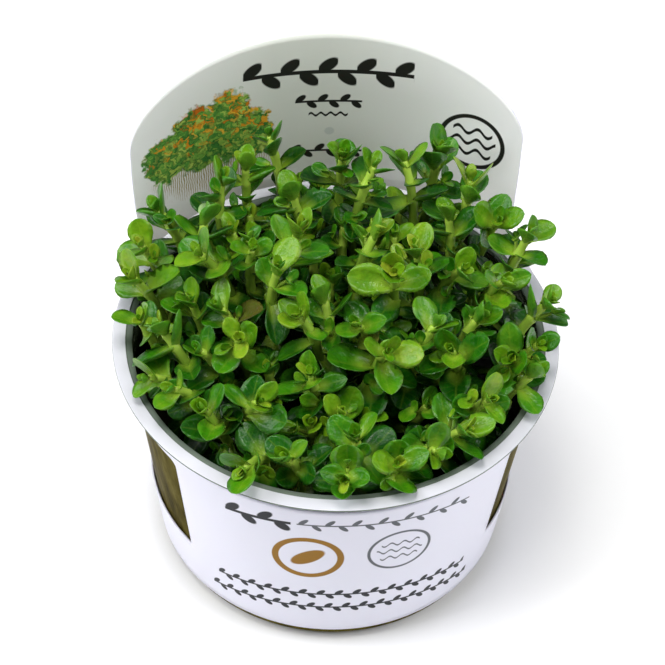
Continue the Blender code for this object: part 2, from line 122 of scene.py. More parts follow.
# Tip of each shoot: x, y, height above or below the canopy's dome, direction of the top pair of
# leaves in degrees, relative size.  Given in whole millimetres.
SHOOTS = (
    (-17, 41, -2, 10, 0.75), (-22, 32, -2, 90, 0.9), (-27, 27, -1, 150, 1.0), (-41, 22, -3, 20, 1.0),
    (-30, 17, -3, 90, 1.0), (-44, 13, -4, 60, 0.95), (-45, 4, -4, 70, 1.05), (-43, -6, -5, 0, 0.9),
    (-38, -11, -2, 120, 1.1), (-30, 4, 0, 30, 1.0), (-19, 4, 0, 0, 0.9), (-13, -2, 1, 60, 1.1),
    (-9, 9, 0, 45, 1.1), (-25, -6, -5, 80, 1.0), (-3, -5, -4, 90, 0.9), (0, 32, 0, 0, 1.0),
    (7, 27, 2, 0, 0.9), (14, 32, 0, 5, 1.05), (22, 37, 0, 135, 1.05), (29, 29, 0, 170, 1.0),
    (24, 21, -4, 100, 1.0), (35, 19, -1, 160, 1.1), (42, 15, 1, 45, 1.1), (8, 11, -2, 20, 1.0),
    (17, 7, -2, 60, 1.1), (12, -2, 1, 90, 1.2), (27, 4, -2, 90, 1.0), (36, 2, -1, 20, 1.1),
    (46, -1, 0, 80, 1.05), (31, -7, -2, 0, 1.0), (5, -11, -4, 10, 1.1), (21, -10, -3, 150, 1.0),
    (-21, -15, -2, 120, 1.0), (-29, -16, -3, 40, 0.95), (-40, -20, -3, 30, 0.95), (-34, -25, 0, 45, 0.9),
    (-27, -30, 0, 20, 1.05), (-16, -29, 0, 60, 1.0), (-18, -43, -1, 95, 1.1), (-8, -12, 0, 40, 1.1),
    (-5, -22, -3, 90, 0.95), (3, -46, 0, 0, 1.0), (5, -37, 1, 30, 1.0), (11, -19, 1, 0, 1.15),
    (25, -17, 1, 100, 1.1), (38, -15, -1, 150, 1.15), (44, -10, -2, 10, 0.85), (43, -17, -1, 40, 0.9),
    (33, -25, 0, 120, 1.05), (28, -32, 0, 30, 1.0), (22, -37, -1, 100, 1.0), (14, -41, -1, 0, 1.0),
    (-9, -40, -2, 30, 1.0), (-11, 24, -4, 100, 1.0),
)

# Sizes of the looks alone
CUP_SIDES = 192
STEM_RADIUS = 1.08               # where the stem has its full thickness
STEM_SIDES = 8
STEM_ROUND = (np.arange(STEM_SIDES) + 0.5) * 2.0 * math.pi / STEM_SIDES
BUD_GAP = 0.1                    # clear space kept round side buds and small shoots
LEAF_FLESH = (0.38, 0.30)        # thickness of a grown leaf and of a young one
INSET = 0.02                     # the shoots end this far inside the box of the solids
SHOULDER_RADIUS = 47.0           # inside this the lip steps down to a ledge
LEDGE_REACH = 0.5                # the ledge reaches inward past the wall
WET_FILM = 0.12                  # the gel wets the wall: no film of air between them
GEL_FILM = 52.6                  # up to here a film of gel and roots clings to the wall
UNDERGROWTH = 60                 # most small shoots between the others
SEED_REACH = 44.0                # they stand within this distance of the middle
REAR_ROW = 26.0                  # behind this line the small shoots stay low

# Old leaves by (shoot, pair, hand): brown above zero, bleached below.
FADED = {(14, 1, 1): 0.62, (31, 1, 1): 0.6, (30, 2, 1): 0.5, (5, 0, 0): -0.8, (25, 1, 0): -0.4}

# View and light, in metres where not said otherwise
CAMERA_DISTANCE = 0.5
CAMERA_LENS = 118.06             # millimetres, on a sensor 36 mm wide
CAMERA_RISE = math.radians(47.47)
CAMERA_ROLL = math.radians(2.23)
CAMERA_AIM = 45.0                # height of the point looked at, in millimetres
CAMERA_SHIFT = (-0.35, 10.71)    # aim moved right and up in the picture, in millimetres
SKY_STRENGTH = 0.22
FLOOR_REACH = 1500.0             # half the floor's side, in millimetres
FLOOR_GAP = 0.2                  # the floor lies this far under the cup, in millimetres
SOFT_BOXES = (                   # name, place, energy, side, colour
    ("top_light", (-0.10, -0.10, 0.90), 4.5, 0.35, "#FFFEFA"),
    ("left_light", (-0.72, -0.12, 0.65), 7.1, 0.60, "#FBFCFF"),
    ("right_light", (0.72, -0.12, 0.65), 5.2, 0.60, "#FBFCFF"),
)


# Meshes
def linear(code):
    """An sRGB hex colour turned to linear light."""
    parts = np.array([int(code[i:i + 2], 16) for i in (1, 3, 5)]) / 255.0
    light = np.where(parts <= 0.04045, parts / 12.92, ((parts + 0.055) / 1.055) ** 2.4)
    return (*[float(c) for c in light], 1.0)


def make_piece(name, points, faces, materials, uv=None, attributes=None, smooth=True):
    """A mesh object at the origin from arrays in millimetres; uv holds one pair for each point."""
    mesh = bpy.data.meshes.new(name)
    mesh.from_pydata((np.asarray(points) * MM).tolist(), [], [list(f) for f in faces])
    for mat in materials:
        mesh.materials.append(mat)
    if uv is not None:
        corners = np.zeros(len(mesh.loops), np.int32)
        mesh.loops.foreach_get("vertex_index", corners)
        layer = mesh.uv_layers.new(name="surface")
        layer.data.foreach_set("uv", np.asarray(uv, np.float32)[corners].ravel())
    for key, values in (attributes or {}).items():
        attribute = mesh.attributes.new(key, "FLOAT", "POINT")
        attribute.data.foreach_set("value", np.asarray(values, np.float32))
    mesh.polygons.foreach_set("use_smooth", np.full(len(mesh.polygons), smooth))
    piece = bpy.data.objects.new(name, mesh)
    bpy.context.scene.collection.objects.link(piece)
    return piece


def grid_faces(rows, columns, closed):
    """Quads of a grid of points laid row after row, joined round its columns when closed."""
    last = columns if closed else columns - 1
    i, j = np.meshgrid(np.arange(rows - 1), np.arange(last), indexing="ij")
    k = (j + 1) % columns
    quads = np.stack([i * columns + j, i * columns + k, (i + 1) * columns + k, (i + 1) * columns + j], -1)
    return quads.reshape(-1, 4)


def turned(name, profile, materials):
    """A profile of (radius, height) carried round the axis: x = r cos a, y = r sin a, z = h.

    The two ends lie on the axis, where each ring is closed to one point by a fan.
    """
    r, h = np.array(profile[1:-1]).T
    a = np.linspace(0.0, 2.0 * math.pi, CUP_SIDES, endpoint=False)
    rings = np.stack([np.outer(r, np.cos(a)), np.outer(r, np.sin(a)), np.outer(h, np.ones_like(a))], -1)
    points = np.concatenate([rings.reshape(-1, 3), [[0, 0, profile[0][1]], [0, 0, profile[-1][1]]]])
    faces = grid_faces(len(r), CUP_SIDES, True).tolist()
    count = len(r) * CUP_SIDES
    here = np.arange(CUP_SIDES)
    there = (here + 1) % CUP_SIDES
    faces += np.stack([there, here, np.full(CUP_SIDES, count)], -1).tolist()
    top = count - CUP_SIDES
    faces += np.stack([top + here, top + there, np.full(CUP_SIDES, count + 1)], -1).tolist()
    return make_piece(name, points, faces, materials)


def arc(centre, radius, start, end, steps):
    """Points of a circular arc in the plane of a profile."""
    bend = np.radians(np.linspace(start, end, steps))
    return list(zip(centre[0] + radius * np.cos(bend), centre[1] + radius * np.sin(bend)))


def wall_radius(z):
    """Outer radius of the cup's wall, falling evenly on the way down."""
    return WALL_TOP_RADIUS - WALL_TAPER * (LIP_UNDER - z)


def inner_radius(z):
    """Inner radius of the cup's wall."""
    return wall_radius(z) - WALL_THICKNESS


# Layout of the shoots, the same as in the solids
def whim(number, pair, hand, kind):
    """A fixed value from -1 to 1 that differs for each leaf and each kind of change."""
    seed = (((number * 8 + pair) * 2 + hand) * 8 + kind) * 2654435761 + 97531
    seed = (seed ^ (seed >> 15)) % 4294967296
    seed = seed * 2246822519 % 4294967296
    seed ^= seed >> 13
    return seed / 2147483648.0 - 1.0


def dome(x, y):
    """Height of the canopy: 75 mm, 10 more at the back and less at the front, 8 less at the sides."""
    return 75.0 + 10.0 * math.tanh((y + 20.0) / 20.0) - 8.0 * (x / 46.0) ** 2


def shoot_path(x, y, lift, sway):
    """Points along a stem from the gel to its tip: a straight foot, then a gentle curve.

    The foot stands at 0.74 of the tip's distance, at most 33 mm out, and the point that pulls
    the curve at 0.9 of it, at most 39 mm out, so that outer shoots clear the wall.
    """
    tip = np.array([x, y, dome(x, y) + lift])
    reach = math.hypot(x, y)
    root_scale = min(0.74, 33.0 / max(reach, 1.0))
    root = np.array([x * root_scale, y * root_scale, STEM_START])
    pull_scale = min(0.9, 39.0 / max(reach, 1.0))
    height = max(61.5, 0.35 * root[2] + 0.65 * tip[2])
    if reach < EDGE_REACH:
        height = 0.4 * root[2] + 0.6 * tip[2]
    pull = np.array([x * pull_scale + sway[0], y * pull_scale + sway[1], height])
    t = np.arange(41)[:, None] / 40.0
    curve = (1.0 - t) ** 2 * root + 2.0 * t * (1.0 - t) * pull + t * t * tip
    steps = np.linalg.norm(np.diff(curve, axis=0), axis=1)
    depth = np.append(np.cumsum(steps[::-1])[::-1], 0.0)
    return np.concatenate([root[None, :], curve[depth < STRAIGHT_BELOW]])


def path_length(path):
    """Length along a path of points."""
    return float(np.linalg.norm(np.diff(path, axis=0), axis=1).sum())


def along_path(path, depth):
    """Point and upward direction at a distance below the tip."""
    left = depth
    for i in range(len(path) - 1, 0, -1):
        step = float(np.linalg.norm(path[i] - path[i - 1]))
        if left <= step or i == 1:
            share = min(1.0, left / step)
            return path[i] + (path[i - 1] - path[i]) * share, (path[i] - path[i - 1]) / step
        left -= step
    return path[0], path[1] - path[0]


def stem_frame(tangent, turn):
    """Two directions square to the stem, the first close to the given compass turn."""
    ahead = np.array([math.cos(turn), math.sin(turn), 0.0])
    first = ahead - tangent * (ahead @ tangent)
    first /= np.linalg.norm(first)
    return first, np.cross(tangent, first)


def stem_ring(path, depth, turn, half):
    """Four corners of the square stem."""
    centre, tangent = along_path(path, depth)
    u, v = stem_frame(tangent, turn)
    return [centre + half * (a * u + b * v) for a, b in ((1, -1), (1, 1), (-1, 1), (-1, -1))]


def leaf_axes(out, up, side, tilt, yaw, roll):
    """Directions along a leaf, across it and square to its face."""
    ahead = math.cos(yaw) * out + math.sin(yaw) * side
    level = math.cos(yaw) * side - math.sin(yaw) * out
    axis = math.cos(tilt) * ahead + math.sin(tilt) * up
    rise = math.cos(tilt) * up - math.sin(tilt) * ahead
    across = math.cos(roll) * level + math.sin(roll) * rise
    return axis, across, math.cos(roll) * rise - math.sin(roll) * level


def leaf_points(pose, grow):
    """Rim points from the left round to the right, then the upper and the lower middle."""
    origin, out, up, side, length, tilt, yaw, roll, cup, curl = pose
    axis, across, normal = leaf_axes(out, up, side, tilt, yaw, roll)
    width, thick = LEAF_ASPECT * length + 2.0 * grow, LEAF_THICKNESS + 2.0 * grow
    length += grow
    points = []
    for along, aside, cupped, curled in RIM:
        lift = (cup * cupped + curl * curled) * length
        points.append(origin + along * length * axis + 0.5 * aside * width * across + lift * normal)
    heart = origin + HEART[0] * length * axis + (HEART[1] + HEART[2] * curl) * length * normal
    return np.array(points + [heart + 0.5 * thick * normal, heart - 0.5 * thick * normal])


def leaf_body(pose, grow):
    """The leaf as a closed shape, made larger by a gap to keep when grow is above zero."""
    origin, up, side = pose[0], pose[2], pose[3]
    points = leaf_points(pose, grow)
    start = origin + ((points[5] + points[6]) * 0.5 - origin) * (0.12 if grow else 0.0)
    base = []
    for rise in (-0.5 * NODE_HEIGHT - 0.5 * grow, 0.5 * NODE_HEIGHT + 0.5 * grow):
        for reach in (-STEM_HALF - 0.6 * grow, STEM_HALF + 0.6 * grow):
            base.append(start + up * rise + side * reach)
    return np.concatenate([points, base])


LEAF_BODY_FACES = [(7, 8, 10, 9), (9, 7, 0), (8, 10, 4)] + [
    (a, b, middle)
    for loop, middle in (((9, 0, 1, 2, 3, 4, 10), 5), ((7, 0, 1, 2, 3, 4, 8), 6))
    for a, b in zip(loop, loop[1:] + loop[:1])
]


def clear_of_pot(points):
    """True if the points keep about 1 mm off the wall, the lip, the gel and the back panel."""
    x, y, z = points.T
    if (z < GEL_TOP + 0.8).any():
        return False
    if ((z < LIP_TOP + 0.8) & (np.hypot(x, y) > inner_radius(np.minimum(z, LIP_TOP)) - 0.7)).any():
        return False
    c, s = math.cos(SHEET_TURN), math.sin(SHEET_TURN)
    across, back = c * x + s * y, c * y - s * x
    bound = np.sqrt(HEADER_RADIUS ** 2 - np.minimum(across ** 2, 3600.0))
    limit = HEADER_DISTANCE - HEADER_RADIUS + bound
    return not ((np.abs(across) < HEADER_HALF_WIDTH + 2.0) & (back > limit - 1.0)).any()


def ball(points):
    """Middle and radius of a ball round the points."""
    middle = points.mean(0)
    return middle, np.linalg.norm(points - middle, axis=1).max()


class Crowd:
    """Closed shapes already placed, with a quick test against a new one."""

    def __init__(self):
        self.items = []

    def add(self, points, faces):
        self.items.append((*ball(points), BVHTree.FromPolygons(points.tolist(), faces)))

    def clashes(self, points, faces):
        middle, reach = ball(points)
        tree = None
        for other_middle, other_reach, other in self.items:
            gap = other_middle - middle
            if math.sqrt(gap @ gap) > reach + other_reach:
                continue
            tree = tree or BVHTree.FromPolygons(points.tolist(), faces)
            if tree.overlap(other):
                return True
        return False


def tube_faces(rings):
    """Quads of a closed four-sided tube."""
    faces = [(3, 2, 1, 0)]
    for k in range(rings - 1):
        for i in range(4):
            j = (i + 1) % 4
            faces.append((4 * k + i, 4 * k + j, 4 * k + 4 + j, 4 * k + 4 + i))
    top = 4 * (rings - 1)
    return faces + [(top, top + 1, top + 2, top + 3)]


STEM_BODY_FACES = tube_faces(len(STEM_RINGS) + 1)


def stem_body(path, turn, half):
    """The plain square stem, as the corners of its rings from the foot to the tip."""
    depths = (path_length(path),) + STEM_RINGS
    return np.array([corner for depth in depths for corner in stem_ring(path, depth, turn, half)])


def place_stem(crowd, number, x, y, lift, turn):
    """Pull the stem aside by its own whim, less if it would touch one that stands already."""
    free = SWAY if math.hypot(x, y) < EDGE_REACH else 0.4 * SWAY
    for share in (1.0, 0.5, 0.0, -0.5, -1.0):
        sway = (share * free * whim(number, 0, 0, 6), share * free * whim(number, 0, 1, 6))
        path = shoot_path(x, y, lift, sway)
        if not crowd.clashes(stem_body(path, turn, STEM_HALF + GAP), STEM_BODY_FACES):
            break
    crowd.add(stem_body(path, turn, STEM_HALF), STEM_BODY_FACES)
    return path


def place_leaf(crowd, path, number, turn, size, pair, hand):
    """Find a posture for one leaf that keeps clear of all placed shapes, or None.

    Its whims set the cupping, curl, length, tilt, turn sideways and roll; then other postures
    and smaller sizes are tried in a fixed order.
    """
    centre, tangent = along_path(path, PAIR_DEPTH[pair] * (0.6 + 0.4 * size))
    u, v = stem_frame(tangent, turn)
    out = (u, v, -u, -v)[(pair % 2) + 2 * hand]
    side = np.cross(tangent, out)
    origin = centre + out * STEM_HALF
    cup = 0.13 + 0.10 * whim(number, pair, hand, 3)
    curl = -0.12 + 0.20 * whim(number, pair, hand, 4)
    for shrink in (1.0, 0.88, 0.76, 0.64):
        length = PAIR_LENGTH[pair] * size * shrink * (0.96 + 0.18 * whim(number, pair, hand, 5))
        for lean, aside in POSTURES:
            tilt = math.radians(min(STEEPEST, PAIR_TILT[pair] + 20.0 * whim(number, pair, hand, 0) + lean))
            yaw = math.radians(aside + 22.0 * whim(number, pair, hand, 1))
            roll = math.radians(30.0 * whim(number, pair, hand, 2))
            pose = (origin, out, tangent, side, length, tilt, yaw, roll, cup, curl)
            points = leaf_body(pose, GAP)
            if clear_of_pot(points) and not crowd.clashes(points, LEAF_BODY_FACES):
                return pose
    return None


def lay_pairs(crowd, shoots, paths, pairs, leaves, first):
    """Place leaf pairs tier by tier on shoots numbered from first, each with 4 mm of stem below."""
    for pair in pairs:
        for number, (shoot, path) in enumerate(zip(shoots, paths), first):
            if path_length(path) < PAIR_DEPTH[pair] + 4.0:
                continue
            turn, size = math.radians(shoot[3]), shoot[4]
            for hand in (0, 1):
                pose = place_leaf(crowd, path, number, turn, size, pair, hand)
                leaves[(number, pair, hand)] = pose
                if pose:
                    crowd.add(leaf_body(pose, 0.0), LEAF_BODY_FACES)


def fill_between(crowd, taken):
    """Small shoots in the gaps: points of a sunflower spiral, kept where a stem stands free.

    They stand 4 to 5 mm or more from every other shoot; the lifts put their tips 6 to 21 mm
    under the dome of the canopy.
    """
    shoots, paths = [], []
    points = UNDERGROWTH * 4
    for i in range(points):
        reach = SEED_REACH * math.sqrt((i + 0.5) / points)
        around = i * math.radians(137.508)
        x, y = reach * math.cos(around), reach * math.sin(around)
        apart = 4.0 if reach > 35.0 else 4.8
        if min(math.hypot(x - a, y - b) for a, b in taken) < apart or len(shoots) == UNDERGROWTH:
            continue
        turn = (i * 53) % 180
        hit = True
        for lift in (-19.0, -21.0) if y > REAR_ROW else (-6.0 - (i * 7) % 6, -12.5, -15.0):
            if dome(x, y) + lift < STEM_START + STRAIGHT_BELOW + 1.0:
                continue
            path = shoot_path(x, y, lift, (0.0, 0.0))
            wide = stem_body(path, math.radians(turn), STEM_HALF + BUD_GAP)
            hit = crowd.clashes(wide, STEM_BODY_FACES)
            if not hit:
                break
        if hit:
            continue
        crowd.add(wide, STEM_BODY_FACES)
        taken.append((x, y))
        shoots.append((x, y, lift, turn, 0.74 + 0.05 * ((i * 5) % 6)))
        paths.append(path)
    return shoots, paths


# Surfaces of stem and leaf
def smooth(t):
    """A smooth step from 0 to 1: 3 t^2 - 2 t^3."""
    return t * t * (3.0 - 2.0 * t)


LEAF_U = np.array([0.0, 0.10, 0.26, 0.44, 0.62, 0.77, 0.89, 0.965, 1.0])
LEAF_V = np.array([-1.0, -0.55, 0.0, 0.55, 1.0, 0.55, 0.0, -0.55])
LEAF_SIDE = np.array([0.0, 1.0, 1.0, 1.0, 0.0, -1.0, -1.0, -1.0])
LEAF_FACES = grid_faces(len(LEAF_U), len(LEAF_V), True).tolist() + [
    list(range(len(LEAF_V)))[::-1],
    [len(LEAF_V) * (len(LEAF_U) - 1) + k for k in range(len(LEAF_V))],
]


def leaf_surface(pose, fleshy, wave, slim):
    """A fleshy blade that clasps the stem and is round at its end, on a grid of u along by v across.

    The half width is 0.42 of the full one at the foot, rises smoothly to u = 0.58 and then
    follows a quarter of an ellipse, more pointed and narrower the more slim the leaf is.  The
    height over the leaf's plane, in lengths, is
    (cup s + clasp) v^2 - 0.03 s + curl u^2, with s = sin(pi u)^0.6 and the clasp fading out by
    u = 0.4, plus a small wave along the rim and a channel over the midrib; the flesh thins to
    the rim.
    """
    origin, out, up, side, length, tilt, yaw, roll, cup, curl = pose
    axis, across, normal = leaf_axes(out, up, side, tilt, yaw, roll)
    u, v = LEAF_U[:, None], LEAF_V[None, :]
    rise = np.clip(u / 0.58, 0.0, 1.0)
    fall = np.clip((u - 0.58) / 0.42, 0.0, 1.0)
    end = np.maximum(1.0 - fall ** 2, 0.0004) ** (0.5 + 0.16 * slim)
    shape = (0.42 + 0.58 * smooth(rise)) * end
    half = 0.5 * LEAF_ASPECT * length * shape * (1.0 - 0.2 * slim)
    swell = np.sin(math.pi * np.minimum(u, 0.999)) ** 0.6
    clasp = 0.11 * np.clip(1.0 - u / 0.4, 0.0, 1.0)
    sheet = (cup * v ** 2 - 0.03) * swell + clasp * v ** 2 + curl * u ** 2
    sheet = sheet + wave * v ** 2 * np.sin(7.0 * u + 3.0 * v + 40.0 * wave) * swell
    channel = -0.035 * np.exp(-(v / 0.3) ** 2) * np.sin(math.pi * u)
    flesh = 0.5 * fleshy * (1.0 - 0.78 * np.abs(v) ** 2.5) * (1.0 - 0.62 * u ** 2.5)
    lift = length * (sheet + channel) + flesh * LEAF_SIDE[None, :]
    along = (origin - 0.4 * out) + (u * (length + 0.4))[..., None] * axis
    points = along + (half * v)[..., None] * across + lift[..., None] * normal
    uv = np.stack(np.broadcast_arrays(u, 0.5 + 0.5 * v), -1)
    under = np.broadcast_to(0.5 - 0.5 * LEAF_SIDE[None, :], lift.shape)
    return points.reshape(-1, 3), uv.reshape(-1, 2), under.ravel()


def stem_surface(path, turn, size):
    """A rounded square stem along its path, thicker at each pair of leaves, thin at the tip.

    The section's radius is r (1 + 0.07 cos 4a); r grows to its full size over the top 5 mm and
    swells as a bell curve round each pair.
    """
    length = path_length(path)
    depth = np.concatenate([[length], np.linspace(STRAIGHT_BELOW + 1.0, 0.0, 38)])
    pairs = np.array(PAIR_DEPTH) * (0.6 + 0.4 * size)
    rings = []
    for d in depth:
        centre, tangent = along_path(path, d)
        if d == length:
            centre = centre - np.array([0.0, 0.0, STEM_START - GEL_TOP + 1.0])
        first, second = stem_frame(tangent, turn)
        knot = np.exp(-((d - pairs) / 0.8) ** 2).max()
        grown = 0.62 + 0.38 * min(1.0, d / 5.0) + 0.16 * knot
        radius = STEM_RADIUS * grown * (1.0 + 0.07 * np.cos(4.0 * STEM_ROUND))
        ahead = centre + np.outer(radius * np.cos(STEM_ROUND), first)
        rings.append(ahead + np.outer(radius * np.sin(STEM_ROUND), second))
    faces = grid_faces(len(depth), STEM_SIDES, True).tolist()
    faces.append(list(range(STEM_SIDES))[::-1])
    faces.append([STEM_SIDES * (len(depth) - 1) + k for k in range(STEM_SIDES)])
    uv = np.stack([np.repeat(depth, STEM_SIDES), np.tile(STEM_ROUND, len(depth))], -1)
    return np.concatenate(rings), faces, uv


def young_leaves(path, turn, size, rng):
    """The youngest pairs, small and steep, that close round the tip."""
    centre, tangent = along_path(path, 0.3)
    u, v = stem_frame(tangent, turn)
    poses = []
    youngest = ((v, 4.0, 72.0), (-v, 3.7, 70.0), (u, 2.4, 80.0), (-u, 2.2, 78.0))
    for k, (out, length, tilt) in enumerate(youngest):
        place = centre + tangent * 0.4 * (k // 2) + out * 0.3
        lean, yaw, roll = rng.uniform(-24.0, 8.0), rng.uniform(-25.0, 25.0), rng.uniform(-25.0, 25.0)
        length, curl = length * size * rng.uniform(0.7, 1.15), rng.uniform(-0.10, 0.12)
        poses.append((place, out, tangent, np.cross(tangent, out), length,
                      math.radians(tilt + lean), math.radians(yaw), math.radians(roll), 0.15, curl))
    return poses


def axil_buds(crowd, number, poses):
    """Short side shoots of two or three small leaves that stand in the angle over some leaves."""
    buds = []
    for (pair, hand), pose in poses:
        if pair == 0 or whim(number, pair, hand, 7) < 0.0:
            continue
        origin, out, up, side = pose[:4]
        ahead = 0.55 * out + 0.83 * up + 0.25 * whim(number, pair, hand, 6) * side
        ahead /= np.linalg.norm(ahead)
        foot = origin + 0.5 * up
        reach = 2.6 + 1.2 * whim(number, pair, 1 - hand, 7)
        for k, turn in enumerate((0.0, math.pi, 0.5 * math.pi)):
            first = stem_frame(ahead, turn + number)[0]
            length = (4.2, 3.8, 2.4)[k] + 0.9 * whim(number, pair, hand, k)
            bud = (foot + ahead * (reach + 0.4 * (k // 2)), first, ahead, np.cross(ahead, first), length,
                   math.radians((42.0, 50.0, 74.0)[k]), 0.4 * whim(number, pair, hand, k), 0.0, 0.13, -0.02)
            points = leaf_body(bud, BUD_GAP)[:7]
            faces = [(0, 1, 2, 3, 4, 5), (0, 1, 2, 3, 4, 6)]
            if clear_of_pot(points) and not crowd.clashes(points, faces):
                crowd.add(points, faces)
                buds.append((pair, foot, ahead, reach, bud))
    return buds


def build_shoot(name, path, number, turn, size, poses, buds, materials):
    """One shoot: stem, leaf pairs, side buds and the youngest pairs closed round the tip."""
    rng = np.random.default_rng(900 + number)
    points, faces, uv = stem_surface(path, turn, size)
    for pair, foot, ahead, reach, bud in buds:
        first, second = stem_frame(ahead, 0.0)
        ring = 0.5 * (np.outer(np.cos(STEM_ROUND), first) + np.outer(np.sin(STEM_ROUND), second))
        faces += (grid_faces(2, STEM_SIDES, True) + len(points)).tolist()
        points = np.concatenate([points, foot + ring, foot + reach * ahead + 0.8 * ring])
        uv = np.concatenate([uv, np.tile([[2.0, 0.0]], (2 * STEM_SIDES, 1))])
    count = len(points)
    kind = rng.uniform(0.0, 1.0)
    columns = {"age": [uv[:, 0]], "tone": [np.full(count, kind)], "underside": [np.zeros(count)],
               "faded": [np.zeros(count)]}
    all_points, all_uv, parts = [points], [uv], [1] * len(faces)
    grown, young = LEAF_FLESH
    leaves = [(pose, pair + 1.0, grown, rng.uniform(-0.03, 0.03), FADED.get((number + 1, pair, hand), 0.0))
              for (pair, hand), pose in poses]
    leaves += [(pose, 0.55 - 0.2 * (k // 2), young, 0.0, 0.0)
               for k, pose in enumerate(young_leaves(path, turn, size, rng))]
    leaves += [(bud, 0.8 + 0.3 * pair, young, 0.0, 0.0) for pair, foot, ahead, reach, bud in buds]
    for pose, years, fleshy, wave, faded in leaves:
        slim = rng.uniform(0.0, 1.0) ** 2 if years >= 1.0 else rng.uniform(0.3, 0.9)
        leaf, leaf_uv, under = leaf_surface(pose, fleshy, wave, slim)
        faces += [[count + k for k in face] for face in LEAF_FACES]
        parts += [0] * len(LEAF_FACES)
        count += len(leaf)
        all_points.append(leaf)
        all_uv.append(leaf_uv)
        tone = 0.45 * kind + 0.55 * rng.uniform(0.0, 1.0)
        for key, value in (("age", years), ("tone", tone), ("faded", faded)):
            columns[key].append(np.full(len(leaf), value))
        columns["underside"].append(under)
    attributes = {key: np.concatenate(values) for key, values in columns.items()}
    low, high = np.array(solid_low) / MM + INSET, np.array(solid_high) / MM - INSET
    inside = np.clip(np.concatenate(all_points), low, high)
    piece = make_piece(name, inside, faces, materials, np.concatenate(all_uv), attributes)
    piece.data.polygons.foreach_set("material_index", np.array(parts, np.int32))
    return piece


# The sheet
def sheet_surface(angle, z):
    """The sheet's middle surface over angle and height.

    Low down it is the cup's cone moved out by a small gap.  At the back it blends with height
    into a flatter upright arc, x = R sin(s / R), y = d - R (1 - cos(s / R)), where s is the
    distance along the sheet; the blend fades out over the strips beside the back panel.
    """
    radius = wall_radius(z) + SHEET_CLEARANCE + 0.5 * SHEET_THICKNESS
    turn = angle * WALL_TOP_RADIUS / HEADER_RADIUS
    flat_x = HEADER_RADIUS * np.sin(turn)
    flat_y = HEADER_DISTANCE - HEADER_RADIUS * (1.0 - np.cos(turn))
    edge = np.minimum(1.0, np.abs(angle) * WALL_TOP_RADIUS / HEADER_HALF_WIDTH)
    rise = np.clip((z - BEND_START) / (BEND_END + BEND_RISE * edge ** 2 - BEND_START), 0.0, 1.0)
    fade = np.clip((np.abs(angle) - HEADER_HALF_WIDTH / WALL_TOP_RADIUS) / STRIP_FADE, 0.0, 1.0)
    share = smooth(rise) * (1.0 - smooth(fade))
    x = radius * np.sin(angle) + share * (flat_x - radius * np.sin(angle))
    y = radius * np.cos(angle) + share * (flat_y - radius * np.cos(angle))
    c, s = math.cos(SHEET_TURN), math.sin(SHEET_TURN)
    return np.stack([c * x - s * y, s * x + c * y, z + 0.0 * x], -1)


def spaced(start, end, step):
    """Even values from start to end, about step apart."""
    return np.linspace(start, end, max(1, round(abs(end - start) / step)) + 1)


